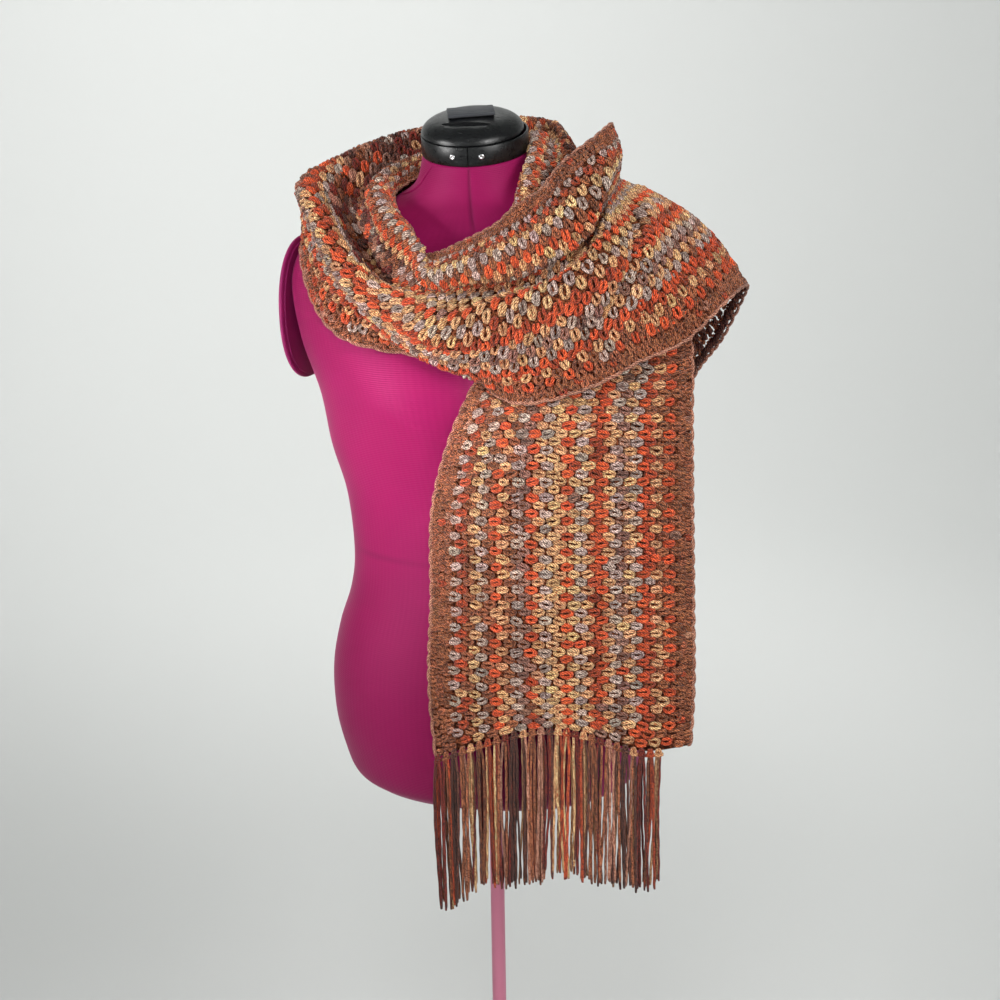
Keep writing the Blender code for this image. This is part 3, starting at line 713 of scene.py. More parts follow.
# neck cap
cap = {
    "radii": (56 * mm, 60 * mm),
    "skirtHeight": 21 * mm,
    "domeRadii": (53.5 * mm, 58 * mm),
    "domeShift": -2 * mm,
    "domeHeight": 17.5 * mm,
    "domeSteps": 14,
    "domeTurn": math.radians(84),  # how far the dome closes in
    "domeRounding": 0.62,
    # a shallow recess with a level floor in front of the handle: back and front edge, half width at each
    "recess": ((-29 * mm, 26 * mm), (-42.5 * mm, 18 * mm)),
    "recessFloor": 35.4 * mm,
    "recessTop": 60 * mm,  # clear of the dome
    "gap": 0.3 * mm,
    "bandThickness": 2.2 * mm,
    "bandSplit": 1.2 * mm,
    "bandTurn": 2.6 * mm,  # how far round the neck the split stands from the middle
    "edge": 0.7 * mm,
    "handleSize": (48.5 * mm, 28 * mm, 3.6 * mm),
    "handlePlace": (-2 * mm, -3.5 * mm),
    "handleTurn": math.radians(15),
    "footSize": (40 * mm, 18 * mm, 2.4 * mm),
    "footSunk": 1 * mm,  # into the dome
    "handleLift": 1.2 * mm,
    "rivetRadius": 2.9 * mm,
    "rivetOffset": 15.1 * mm,
    "rivetSegments": 28,
    "pitWidth": 0.336 * mm,
    # height in mm of the rivet's rings and their part of its radius: rim, rounded head and dimple
    "rivetRings": ((0.2, 1.0), (0.55, 1.0), (0.95, 0.9), (1.2, 0.7), (1.2, 0.5), (0.75, 0.3), (0.65, 0.1)),
    "segments": 128,
    "scratchSize": (14 * mm, 2.1 * mm, 42 / 13 * mm),
    "scratchDepth": 0.1 * mm,
    "scratchColour": "8d9091",
}


def neckMatrix():
    # the place of the neck's top, which leans as the neck does
    spot = Vector((0, form["neckCentreY"], form["neckTop"]))
    return Matrix.Translation(spot) @ Matrix.Rotation(form["neckLean"], 4, "X")


def makeBlackPlastic(name, roughness, scuffs, colour="08090b"):
    # injection-moulded polystyrene: black gloss with fine handling scratches
    material, tree, shader = newMaterial(name)
    place = addNode(tree, "ShaderNodeTexCoord")
    stretch = addNode(tree, "ShaderNodeMapping", {"Scale": [spotScale(size) for size in cap["scratchSize"]]},
                      {"Vector": place.outputs["Object"]})
    noise = addNode(tree, "ShaderNodeTexNoise", {"Scale": 1.0, "Detail": 5.0, "Roughness": 0.75},
                    {"Vector": stretch.outputs["Vector"]})
    scratch = noise.outputs["Fac"]
    worn = addRange(tree, scratch, 0.62, 0.76, 0.0, scuffs)
    setNode(tree, shader, {"Specular IOR Level": 0.5}, {
        "Base Color": addTint(tree, worn, colour, cap["scratchColour"]),
        "Roughness": addRange(tree, scratch, 0.3, 0.75, roughness, roughness + 0.3),
        "Normal": addBump(tree, scratch, 0.12, cap["scratchDepth"]),
    })
    return material


def makeCap():
    gloss = makeBlackPlastic("polystyreneGloss", 0.2, 0.35)
    seat = neckMatrix()
    # the dome: its skirt inside the band, then out over the band's edge and closing in to the top
    skirt = cap["bandThickness"] + cap["gap"]
    bottom, top = cap["gap"], cap["gap"] + cap["skirtHeight"]
    rings = [(bottom, skirt), (top, skirt)]
    for step in range(cap["domeSteps"] + 1):
        turn = step / cap["domeSteps"] * cap["domeTurn"]
        inset = cap["domeRadii"][0] * (1 - math.cos(turn) ** cap["domeRounding"])
        rings.append((top + cap["gap"] + cap["domeHeight"] * math.sin(turn), inset))
    dome = extrudedRings("neckCapDome", cap["segments"], cap["domeRadii"], rings)
    # the recess is cut with a wedge whose sides draw in to the front
    (back, backWidth), (front, frontWidth) = cap["recess"]
    bpy.ops.mesh.primitive_cube_add(size=2.0)
    wedge = bpy.context.object
    for corner in wedge.data.vertices:
        rear = corner.co.y > 0
        corner.co.x *= backWidth if rear else frontWidth
        corner.co.y = back if rear else front
        corner.co.z = cap["recessFloor"] if corner.co.z < 0 else cap["recessTop"]
    cut = dome.modifiers.new("recess", "BOOLEAN")
    cut.operation = "DIFFERENCE"
    cut.solver = "EXACT"
    cut.object = wedge
    bpy.context.view_layer.objects.active = dome
    bpy.ops.object.modifier_apply(modifier=cut.name)
    bpy.data.objects.remove(wedge)
    smoothShaded(dome, gloss, 35)
    placeIn(dome, seat @ Matrix.Translation((cap["domeShift"], 0, 0)))
    settle(dome, "black", "neck_cap")

    # the split band round the neck, its ends a little apart at the front
    halfSplit = cap["bandSplit"] / 2 / cap["radii"][0]
    splitAt = -math.pi / 2 + cap["bandTurn"] / cap["radii"][0]
    low, high = 2 * cap["gap"], cap["skirtHeight"] - cap["gap"]
    deselectAll()
    bpy.ops.mesh.primitive_plane_add(size=1.0)
    band = bpy.context.object
    band.name = band.data.name = "neckCapBand"
    for corner in band.data.vertices:
        across = cap["radii"][0] + (corner.co.x - 0.5) * cap["bandThickness"]
        corner.co = (across, 0, (low + high) / 2 + corner.co.y * (high - low))
    bpy.ops.object.mode_set(mode="EDIT")
    bpy.ops.mesh.select_all(action="SELECT")
    bpy.ops.mesh.bevel(offset=cap["edge"], segments=2, affect="VERTICES")
    bpy.ops.mesh.select_all(action="SELECT")
    bpy.ops.mesh.spin(steps=cap["segments"], angle=2 * (math.pi - halfSplit),
                      center=(0, 0, 0), axis=(0, 0, 1))
    bpy.ops.mesh.select_all(action="SELECT")
    bpy.ops.mesh.normals_make_consistent(inside=False)
    bpy.ops.object.mode_set(mode="OBJECT")
    smoothShaded(band, gloss, 50)
    drawn = Matrix.Diagonal((1.0, cap["radii"][1] / cap["radii"][0], 1.0, 1.0))
    placeIn(band, seat @ drawn @ Matrix.Rotation(splitAt + halfSplit, 4, "Z"))
    settle(band, "black", "cap_band")

    # the handle: a flat plate on a smaller foot
    # the handle's lighter grey is partly painted light for its lit top, besides its wear
    satin = makeBlackPlastic("polystyreneSatinPaintedLight", 0.4, 0.6, "34363a")
    top = cap["skirtHeight"] + cap["domeHeight"] + cap["gap"]
    turned = Matrix.Translation((*cap["handlePlace"], 0)) @ Matrix.Rotation(cap["handleTurn"], 4, "Z")
    blocks = []
    for size, low in (
        (cap["footSize"], top - cap["footSunk"]),
        (cap["handleSize"], top + cap["handleLift"]),
    ):
        deselectAll()
        bpy.ops.mesh.primitive_cube_add(size=1.0, location=(0, 0, low + size[2] / 2))
        block = bpy.context.object
        block.scale = size
        bpy.ops.object.transform_apply(location=True, scale=True)
        bevel = block.modifiers.new("soft edges", "BEVEL")
        bevel.width = cap["edge"]
        bevel.segments = 3
        bpy.ops.object.modifier_apply(modifier=bevel.name)
        blocks.append(block)
    blocks[0].select_set(True)
    bpy.ops.object.join()
    bar = bpy.context.object
    bar.name = bar.data.name = "neckCapHandle"
    smoothShaded(bar, satin, 50)
    placeIn(bar, seat @ turned)
    settle(bar, "black", "cap_handle")

    # nickel-plated rivets with a dimple
    nickel, tree, shader = newMaterial("nickelPlatedSteel")
    pits = addSpots(tree, cap["pitWidth"], 2.0)
    setNode(tree, shader, {"Base Color": linearColour("dfe0e2"), "Metallic": 1.0},
            {"Roughness": addRange(tree, pits, 0.0, 1.0, 0.18, 0.4)})
    rings = [(height * mm, cap["rivetRadius"] * (1 - part)) for height, part in cap["rivetRings"]]
    for side, word in ((1, "left"), (-1, "right")):
        turn = splitAt + side * cap["rivetOffset"] / cap["radii"][0]
        outward = Vector((math.cos(turn), math.sin(turn), 0))
        spot = Vector((cap["radii"][0] * outward.x, cap["radii"][1] * outward.y, cap["skirtHeight"] / 2))
        rivet = extrudedRings("rivet" + word.capitalize(), cap["rivetSegments"],
                              (cap["rivetRadius"], cap["rivetRadius"]), rings)
        smoothShaded(rivet, nickel, 60)
        placeIn(rivet, seat @ standingOut(spot, outward))
        settle(rivet, "steel", "cap_rivet_" + word)
    print("neck cap made")


# stand
stand = {
    "poleRadius": 8.5 * mm,
    "socketRadius": 22 * mm,
    "socketHeight": 38 * mm,
    "hubRadius": 24 * mm,
    "hubHeight": 60 * mm,
    "baseRadius": 175 * mm,
    "baseThickness": 12 * mm,
    "formBottom": 652 * mm,
    "gap": 0.3 * mm,
    "edges": (1.5 * mm, 2.5 * mm, 3 * mm),  # of the socket, the hub and the base, turned round
    "pinks": ("b4667e", "be748c"),
    "peelWidth": 2 * mm,
    "peelDepth": 0.1 * mm,
    "toneWidth": 280 / 3 * mm,
}


def turnedPiece(name, radius, bottom, height, edge, material, segments=96):
    deselectAll()
    bpy.ops.mesh.primitive_cylinder_add(vertices=segments, radius=radius, depth=height,
                                        location=(0, 0, bottom + height / 2))
    piece = bpy.context.object
    piece.name = piece.data.name = name
    bpy.ops.object.transform_apply(location=True)
    if edge:
        bevel = piece.modifiers.new("turned edges", "BEVEL")
        bevel.width = edge
        bevel.segments = 4
        bpy.ops.object.modifier_apply(modifier=bevel.name)
    smoothShaded(piece, material, 45)
    return piece


def makeStand():
    # powder-coated steel tube, dusty pink with a fine orange-peel surface
    pink, tree, shader = newMaterial("powderCoatPink")
    peel = addSpots(tree, stand["peelWidth"], 2.0)
    tone = addSpots(tree, stand["toneWidth"], 2.0)
    setNode(tree, shader, {"Roughness": 0.42}, {
        "Base Color": addTint(tree, tone, *stand["pinks"]),
        "Normal": addBump(tree, peel, 0.2, stand["peelDepth"]),
    })
    bottom = stand["baseThickness"] + stand["gap"]
    top = stand["formBottom"] - stand["gap"]
    pole = turnedPiece("standPole", stand["poleRadius"], bottom, top - bottom, 0, pink, 48)
    settle(pole, "pink", "pole")

    black = makeBlackPlastic("castIronEnamel", 0.3, 0.12)
    socketEdge, hubEdge, baseEdge = stand["edges"]
    height = stand["socketHeight"]
    socket = turnedPiece("poleSocket", stand["socketRadius"], top - height, height, socketEdge, black)
    settle(socket, "black", "pole_socket")
    hub = turnedPiece("baseHub", stand["hubRadius"], bottom, stand["hubHeight"], hubEdge, black)
    settle(hub, "black", "base_hub")
    base = turnedPiece("basePlate", stand["baseRadius"], 0.0, stand["baseThickness"], baseEdge, black, 160)
    settle(base, "black", "base_plate")
    print("stand made")


# the scarf's cloth
# place, inner edge, inner roll, valley, outer ridge, outer fall and outer edge of the strip, in mm
scarfSections = (
    ("front_hem", (-34, -158, 737), (23, -166, 763), (82, -170, 784),
     (136, -168, 779), (188, -160, 759), (239, -146, 764)),
    ("hip", (-38, -160, 805), (20, -168, 811), (79, -172, 816),
     (136, -170, 819), (190, -162, 819), (241, -146, 816)),
    ("waist", (-33, -162, 920), (23, -170, 925), (81, -176, 930),
     (136, -172, 931), (189, -160, 930), (239, -142, 926)),
    ("rib", (-27, -164, 1031), (25, -172, 1035), (83, -180, 1039),
     (137, -176, 1040), (188, -160, 1037), (236, -138, 1033)),
    ("bust", (-5, -162, 1106), (39, -172, 1114), (87, -180, 1118),
     (139, -178, 1119), (189, -162, 1116), (234, -134, 1111)),
    ("under_band", (31, -148, 1187), (64, -160, 1195), (105, -164, 1196),
     (149, -160, 1196), (191, -146, 1195), (231, -122, 1196)),
    ("under_shoulder", (51, -128, 1286), (70, -132, 1287), (101, -132, 1287),
     (139, -118, 1286), (178, -100, 1279), (209, -80, 1269)),
    ("neck_right", (52, -92, 1336), (62, -102, 1356), (84, -74, 1342),
     (102, -40, 1355), (127, -12, 1326), (152, 22, 1306)),
    ("neck_right_back", (64, -34, 1348), (62, -42, 1392), (80, -14, 1376),
     (82, 12, 1398), (107, 50, 1335), (122, 88, 1276)),
    ("nape_right", (44, 14, 1358), (52, 28, 1390), (54, 50, 1370),
     (48, 68, 1409), (60, 98, 1350), (62, 118, 1268)),
    ("nape_left", (-34, 16, 1356), (-40, 28, 1386), (-44, 50, 1368),
     (-44, 68, 1404), (-56, 98, 1350), (-62, 120, 1268)),
    ("neck_left_back", (-70, -16, 1350), (-82, 2, 1364), (-94, 20, 1356),
     (-111, 34, 1393), (-128, 76, 1345), (-152, 100, 1277)),
    ("shoulder_back", (-88, -44, 1336), (-101, -58, 1347), (-132, -26, 1320),
     (-162, 22, 1373), (-182, 50, 1330), (-190, 72, 1278)),
    ("shoulder", (-76, -84, 1316), (-84, -112, 1330), (-113, -84, 1295),
     (-187, 0, 1348), (-207, 14, 1318), (-200, 34, 1282)),
    ("shoulder_front", (-58, -104, 1300), (-66, -134, 1312), (-96, -118, 1265),
     (-155, -72, 1314), (-190, -35, 1303), (-196, -40, 1276)),
    ("chest_left", (-60, -114, 1279), (-46, -138, 1294), (-71, -134, 1250),
     (-116, -132, 1273), (-156, -98, 1262), (-168, -100, 1228)),
    ("chest_mid_left", (-32, -126, 1279), (-34, -147, 1264), (-30, -138, 1244),
     (-73, -160, 1226), (-106, -142, 1227), (-122, -144, 1196)),
    ("chest_mid", (0, -132, 1292), (4, -160, 1273), (9, -139, 1251),
     (-17, -173, 1195), (-27, -172, 1182), (-9, -150, 1174)),
    ("chest_centre", (39, -126, 1312), (52, -163, 1290), (62, -138, 1257),
     (55, -182, 1213), (58, -176, 1170), (65, -182, 1141)),
    ("chest_right", (72, -108, 1337), (91, -156, 1309), (97, -128, 1269),
     (107, -183, 1241), (117, -178, 1194), (139, -192, 1161)),
    ("breast_right", (96, -84, 1366), (121, -137, 1332), (126, -102, 1297),
     (156, -165, 1273), (163, -166, 1225), (186, -176, 1185)),
    ("peak", (127, -52, 1392), (146, -93, 1356), (136, -70, 1317),
     (178, -128, 1301), (202, -140, 1249), (226, -140, 1199)),
    ("peak_tip", (139, -22, 1403), (150, -40, 1369), (142, -42, 1330),
     (189, -62, 1315), (228, -88, 1270), (261, -92, 1229)),
    ("shoulder_top", (112, 28, 1368), (130, 18, 1352), (148, 14, 1338),
     (196, 14, 1318), (244, 2, 1286), (280, -22, 1238)),
    ("shoulder_rear", (70, 72, 1345), (105, 66, 1338), (140, 62, 1330),
     (180, 58, 1318), (220, 50, 1292), (279, 36, 1224)),
    ("blade", (22, 104, 1275), (72, 106, 1270), (118, 108, 1262),
     (162, 106, 1250), (205, 96, 1230), (253, 86, 1164)),
    ("blade_low", (-30, 122, 1170), (24, 126, 1168), (76, 126, 1162),
     (126, 122, 1154), (174, 112, 1140), (218, 102, 1110)),
    ("back_waist", (-62, 132, 1010), (-8, 134, 1010), (46, 132, 1010),
     (100, 128, 1008), (152, 118, 1005), (200, 102, 1000)),
    ("back_hem", (-70, 152, 842), (-15, 156, 838), (40, 155, 836),
     (95, 150, 838), (148, 140, 842), (198, 122, 848)),
)
# each stretch that shows: node, first place, last place, how it is held, what carries it
stretches = (
    ("scarf_front_tail", "front_hem", "under_shoulder", "hung", ["form_body"]),
    ("scarf_neck_side", "under_shoulder", "neck_right_back", "draped", ["form_body"]),
    ("scarf_nape", "neck_right_back", "neck_left_back", "draped", ["form_body"]),
    ("scarf_shoulder_loop", "neck_left_back", "chest_left", "draped", ["form_body"]),
    ("scarf_crossing", "chest_left", "breast_right", "draped", ["form_body"]),
    ("scarf_left_shoulder", "breast_right", "shoulder_rear", "draped", ["form_body"]),
    ("scarf_back_tail", "shoulder_rear", "back_hem", "hung", ["form_body"]),
)
cloth = {
    "thickness": 4.0 * mm,
    "width": 275 * mm,
    "length": 2100 * mm,
    "rows": 112,
    "columns": 15,
    "formClearance": 1.2 * mm,
    "layerClearance": 1.5 * mm,
    "formReach": 60 * mm,
    "layerReach": 25 * mm,
    "settleRounds": 5,
    "lowerLayerEnd": "nape_left",
    "upperLayerStart": "chest_left",
    "fineness": 4,  # points of the smooth cloth for each quad of the settled one
    "baseThickness": 0.8 * mm,
    # the smooth cloth, once it has its folds
    "foldedFormClearance": 0.4 * mm,
    "foldedLayerClearance": 0.6 * mm,
    "foldedReach": 20 * mm,
    "layerLift": 1.15,  # makes up for the softening of the moves
}


def gridNormals(grid):
    along = np.gradient(grid, axis=0)
    across = np.gradient(grid, axis=1)
    normals = np.cross(across, along)
    return normals / np.linalg.norm(normals, axis=2, keepdims=True)


def gridFaces(rows, columns):
    return [
        (i * columns + j, i * columns + j + 1, (i + 1) * columns + j + 1, (i + 1) * columns + j)
        for i in range(rows - 1)
        for j in range(columns - 1)
    ]


def gridSurface(grid):
    return BVHTree.FromPolygons([tuple(p) for p in grid.reshape(-1, 3)], gridFaces(*grid.shape[:2]))


def refineGrid(grid):
    rows, columns = grid.shape[:2]
    fine = np.empty((2 * rows - 1, 2 * columns - 1, 3))
    fine[::2, ::2] = grid
    fine[1::2, ::2] = (grid[1:] + grid[:-1]) / 2
    fine[:, 1::2] = (fine[:, 2::2] + fine[:, :-2:2]) / 2
    return fine


def coarsenMoves(moves):
    padded = np.pad(moves, ((1, 1), (1, 1), (0, 0)), mode="edge")
    height, width = moves.shape[:2]
    near = np.stack([padded[i:i + height:2, j:j + width:2] for i in range(3) for j in range(3)])
    largest = np.linalg.norm(near, axis=3).argmax(axis=0)
    return np.take_along_axis(near, largest[None, :, :, None], axis=0)[0]


def movesOff(points, surface, distance, reach):
    # how far each point has to move to lie this far outside the surface
    moves = np.zeros_like(points)
    for place in np.ndindex(points.shape[:2]):
        spot, normal, _, away = surface.find_nearest(points[place], reach)
        if spot is None:
            continue
        outside = float(np.dot(points[place] - np.array(spot), normal))
        if abs(outside) >= 0.5 * away and outside < distance:
            moves[place] = np.array(normal) * (distance - outside)
    return moves


def softenMoves(moves):
    padded = np.pad(moves, ((1, 1), (1, 1), (0, 0)), mode="edge")
    near = padded[:-2, 1:-1] + padded[2:, 1:-1] + padded[1:-1, :-2] + padded[1:-1, 2:]
    return 0.5 * moves + 0.125 * near


def surfaceOf(nodes):
    points, faces = [], []
    for node in nodes:
        mesh = frame["nodes"][node].data
        faces += [tuple(len(points) + i for i in face.vertices) for face in mesh.polygons]
        points += [point.co.copy() for point in mesh.vertices]
    return BVHTree.FromPolygons(points, faces)


def settledCloth():
    # the strip as rows by columns, laid by its sections and eased off the form and its own lower layer
    names = [row[0] for row in scarfSections]
    points = np.array([row[1:] for row in scarfSections], float) * mm
    steps = np.linalg.norm(np.diff(points, axis=0), axis=2).mean(axis=1)
    runs = np.concatenate([[0], np.cumsum(steps)])
    lengthwise = smoothThrough(runs, points, np.linspace(0, runs[-1], cloth["rows"] + 1))
    knots = np.linspace(0, 1, points.shape[1])
    columns = np.linspace(0, 1, cloth["columns"] + 1)
    grid = smoothThrough(knots, lengthwise.swapaxes(0, 1), columns).swapaxes(0, 1)
    grid[:, 1:-1] = 0.5 * grid[:, 1:-1] + 0.25 * (grid[:, :-2] + grid[:, 2:])
    rows = {name: round(run / runs[-1] * cloth["rows"]) for name, run in zip(names, runs)}

    formSurface = surfaceOf(["form_body", "arm_plate_left", "arm_plate_right", "neck_cap", "cap_band"])
    offForm = cloth["thickness"] / 2 + cloth["formClearance"]
    offLayer = cloth["thickness"] + cloth["layerClearance"]
    upper = slice(rows[cloth["upperLayerStart"]], None)
    for step in range(cloth["settleRounds"]):
        last = step == cloth["settleRounds"] - 1
        lowerSurface = gridSurface(grid[:rows[cloth["lowerLayerEnd"]] + 1])
        moves = coarsenMoves(movesOff(refineGrid(grid[upper]), lowerSurface, offLayer, cloth["layerReach"]))
        grid[upper] += moves if last else softenMoves(moves)
        moves = coarsenMoves(movesOff(refineGrid(grid), formSurface, offForm, cloth["formReach"]))
        grid = grid + (moves if last else softenMoves(moves))
    return grid, rows, formSurface


# soft ridges (or troughs, below 0): the line's knots as row of the settled cloth and part across the strip,
# then half width towards the inner edge, half width towards the outer edge and height in mm
folds = (
    (((27, 0.22), (51, 0.20)), 14, 14, 5),
    (((27, 0.48), (51, 0.52)), 13, 13, -5),
    (((27, 0.80), (47, 0.78)), 15, 15, 5),
    # the shoulder loop's pocket and its outer roll
    (((48, 0.44), (52, 0.47), (56, 0.43), (58.5, 0.42), (61.5, 0.45)), 14, 16, -12),
    (((48, 0.22), (52, 0.24), (56, 0.22), (60, 0.20)), 12, 12, 9),
    (((48, 0.74), (54, 0.70), (58, 0.67), (63, 0.70)), 16, 18, 12),
    # the crossing: upper lobe, deep crease, middle ridge, the shallow crease after it and the short one
    (((59, 0.24), (66, 0.29), (70, 0.33), (73, 0.31), (75, 0.23), (77.5, 0.10)), 30, 10, 17),
    (((61, 0.38), (65.5, 0.41), (68, 0.41), (71, 0.44), (72.5, 0.43), (74, 0.38), (77, 0.26)), 8, 7, -13),
    (((60, 0.50), (65.5, 0.51), (68, 0.50), (70.3, 0.53), (72.8, 0.54), (74.6, 0.49), (78, 0.38)), 9, 18, 17),
    (((79.5, 0.50), (76.4, 0.60), (75, 0.68), (73.9, 0.75), (72, 0.80), (69, 0.82)), 8, 9, -9),
    (((64.4, 0.62), (66.5, 0.635), (69.5, 0.69)), 6, 7, -12),
    (((85, 0.46), (79, 0.57), (76.9, 0.66), (75.5, 0.76), (73.5, 0.90)), 10, 16, 8),
    (((63, 0.80), (67, 0.84), (71, 0.92)), 14, 12, 4),
)


def foldHeights(along, across):
    # height of all folds at places from 0 to 1 along and across the strip
    spots = np.stack([along * cloth["length"], across * cloth["width"]], axis=-1)
    heights = np.zeros(along.shape)
    for knots, inner, outer, rise in folds:
        line = smoothThrough(np.arange(len(knots)), knots, np.linspace(0, len(knots) - 1, 8 * len(knots)))
        line = line * (cloth["length"] / cloth["rows"], cloth["width"])
        gaps = spots[..., None, :] - line
        nearest = np.linalg.norm(gaps, axis=-1).argmin(axis=-1)
        ahead = np.gradient(line, axis=0)
        ahead *= np.sign(ahead[:, :1])
        beside = np.cross(ahead / np.linalg.norm(ahead, axis=1, keepdims=True), gaps)
        beside = np.take_along_axis(beside, nearest[..., None], axis=-1)[..., 0]
        apart = np.take_along_axis(np.linalg.norm(gaps, axis=-1), nearest[..., None], axis=-1)[..., 0]
        width = np.where(beside < 0, inner, outer) * mm
        fade = np.sqrt(np.sin(nearest / (len(line) - 1) * math.pi).clip(0))
        heights += rise * mm * fade * np.exp(-((apart / width) ** 2))
    return heights


def foldCloth(points, rows, formSurface):
    # moves the smooth cloth out or in along its own normals, then off the form and off its own lower layer
    along = np.linspace(0, 1, points.shape[0])[:, None] * np.ones((1, points.shape[1]))
    across = np.linspace(0, 1, points.shape[1])[None, :] * np.ones((points.shape[0], 1))
    points = points + gridNormals(points) * foldHeights(along, across)[:, :, None]
    offForm = cloth["thickness"] / 2 + cloth["foldedFormClearance"]
    offLayer = cloth["thickness"] + cloth["foldedLayerClearance"]
    points = points + movesOff(points, formSurface, offForm, cloth["foldedReach"])
    lowerSurface = gridSurface(points[:rows[cloth["lowerLayerEnd"]] * cloth["fineness"] + 1:2, ::2])
    upper = slice(rows[cloth["upperLayerStart"]] * cloth["fineness"], None)
    moves = movesOff(points[upper], lowerSurface, offLayer, cloth["foldedReach"])
    points[upper] += softenMoves(softenMoves(moves)) * cloth["layerLift"]
    return points


def smoothGrid(grid, fineness):
    rows, columns = grid.shape[:2]
    tall = smoothThrough(np.arange(rows), grid, np.linspace(0, rows - 1, (rows - 1) * fineness + 1))
    wide = smoothThrough(np.arange(columns), tall.swapaxes(0, 1),
                         np.linspace(0, columns - 1, (columns - 1) * fineness + 1))
    return wide.swapaxes(0, 1)


def readGrid(grid, along, across):
    # the grid's value at places from 0 to 1 along and across the strip
    rows, columns = grid.shape[:2]
    x = np.clip(along, 0, 1) * (rows - 1)
    y = np.clip(across, 0, 1) * (columns - 1)
    i = np.minimum(x.astype(int), rows - 2)
    j = np.minimum(y.astype(int), columns - 2)
    partX, partY = (x - i)[..., None], (y - j)[..., None]
    low = grid[i, j] * (1 - partY) + grid[i, j + 1] * partY
    high = grid[i + 1, j] * (1 - partY) + grid[i + 1, j + 1] * partY
    return low * (1 - partX) + high * partX


def wallArrays(middle, normals, thickness):
    # points, loops and starts of a closed wall about a grid of middle points
    rows, columns = middle.shape[:2]
    points = np.concatenate([
        (middle + normals * thickness / 2).reshape(-1, 3),
        (middle - normals * thickness / 2).reshape(-1, 3),
    ])
    total = rows * columns
    faces = gridFaces(rows, columns)
    faces += [tuple(total + i for i in reversed(face)) for face in faces]
    rim = list(range(columns))
    rim += [i * columns + columns - 1 for i in range(1, rows)]
    rim += [(rows - 1) * columns + j for j in range(columns - 2, -1, -1)]
    rim += [i * columns for i in range(rows - 2, 0, -1)]
    faces += [(end, start, total + start, total + end) for start, end in zip(rim, rim[1:] + rim[:1])]
    loops, starts = polygonArrays(faces)
    return points, loops, starts


# yarn
yarnShades = {
    # colour, then the colour of its flecks
    "brown": ("b86e4a", "4e1c10"),
    "tan": ("fec48e", "a8542c"),
    "straw": ("fccc92", "a46036"),
    "orange": ("f6683a", "b0381a"),
    "grey": ("d8beb0", "6c483e"),
    "mauve": ("b4806e", "50281e"),
    "rust": ("d25a34", "702214"),
    "maroon": ("8c3428", "3c120e"),
    "pinkish": ("d0947a", "7c3c2a"),
    "umber": ("784638", "2c1412"),
}
yarn = {
    "plies": 5,
    "twist": 17.0 * mm,  # length of one turn
    "twistStart": 40,  # mm within which each tube's twist starts
    "brightness": 0.97,
    "brightLimits": (0.35, 1.25),
    "fibreWidth": 1.5 * mm,
    "deepFibreWidth": 2.0 * mm,
    # the dark colours of the painted shade between the stitches
    "paintedShadeColours": ("220c07", "84492f"),
}


def makeAcrylicYarn():
    # brushed acrylic yarn: five plies with fine flecks, matt, with a soft halo; painted shade in the ply grooves and a
    # faint painted highlight on their crests
    material, tree, shader = newMaterial("acrylicYarn")
    main = addNode(tree, "ShaderNodeAttribute", {"attribute_name": "yarnColour"})
    fleck = addNode(tree, "ShaderNodeAttribute", {"attribute_name": "fleckColour"})
    uv = addNode(tree, "ShaderNodeUVMap", {"uv_map": "strand"})
    split = addNode(tree, "ShaderNodeSeparateXYZ", links={"Vector": uv.outputs["UV"]})
    # the plies wind round the strand
    around = 2 * math.pi * yarn["plies"]
    turn = addMath(tree, "MULTIPLY", {0: split.outputs["X"]}, factor=around)
    advance = around / (yarn["twist"] / mm)
    wind = addMath(tree, "MULTIPLY_ADD", {0: split.outputs["Y"], 2: turn}, factor=advance)
    ply = addMath(tree, "SINE", {0: wind})
    fibres = addSpots(tree, yarn["fibreWidth"], 3.0, Roughness=0.75)
    mixed = addNode(tree, "ShaderNodeMix", {"data_type": "RGBA"}, {
        0: addRange(tree, fibres, 0.47, 0.58),
        6: main.outputs["Color"],
        7: fleck.outputs["Color"],
    })
    # painted shade in the grooves between the plies and a faint painted highlight on their crests, multiplied into the
    # colour
    groove = addRange(tree, ply, -0.9, 0.4, 0.25, 1.1)
    shaded = addNode(tree, "ShaderNodeMix", {"data_type": "RGBA", "blend_type": "MULTIPLY", 0: 1.0},
                     {6: mixed.outputs[2], 7: groove})
    height = addMath(tree, "MULTIPLY_ADD", {0: fibres, 2: ply}, factor=0.5)
    setNode(tree, shader, {
        "Roughness": 0.85,
        "Specular IOR Level": 0.2,
        "Sheen Weight": 0.12,
        "Sheen Roughness": 0.5,
    }, {"Base Color": shaded.outputs[2], "Normal": addBump(tree, height, 0.8, 0.5 * mm)})
    return material


def makeYarnShadow():
    # the yarn deep between the stitches, painted dark: its colour is painted shade for the little light that comes
    # there
    material, tree, shader = newMaterial("acrylicYarnPaintedShade")
    fibres = addSpots(tree, yarn["deepFibreWidth"], 3.0)
    light = addRange(tree, fibres, 0.42, 0.66)
    setNode(tree, shader, {"Roughness": 0.95, "Specular IOR Level": 0.1}, {
        "Base Color": addTint(tree, light, *yarn["paintedShadeColours"]),
        "Normal": addBump(tree, fibres, 0.8, 0.6 * mm),
    })
    return material


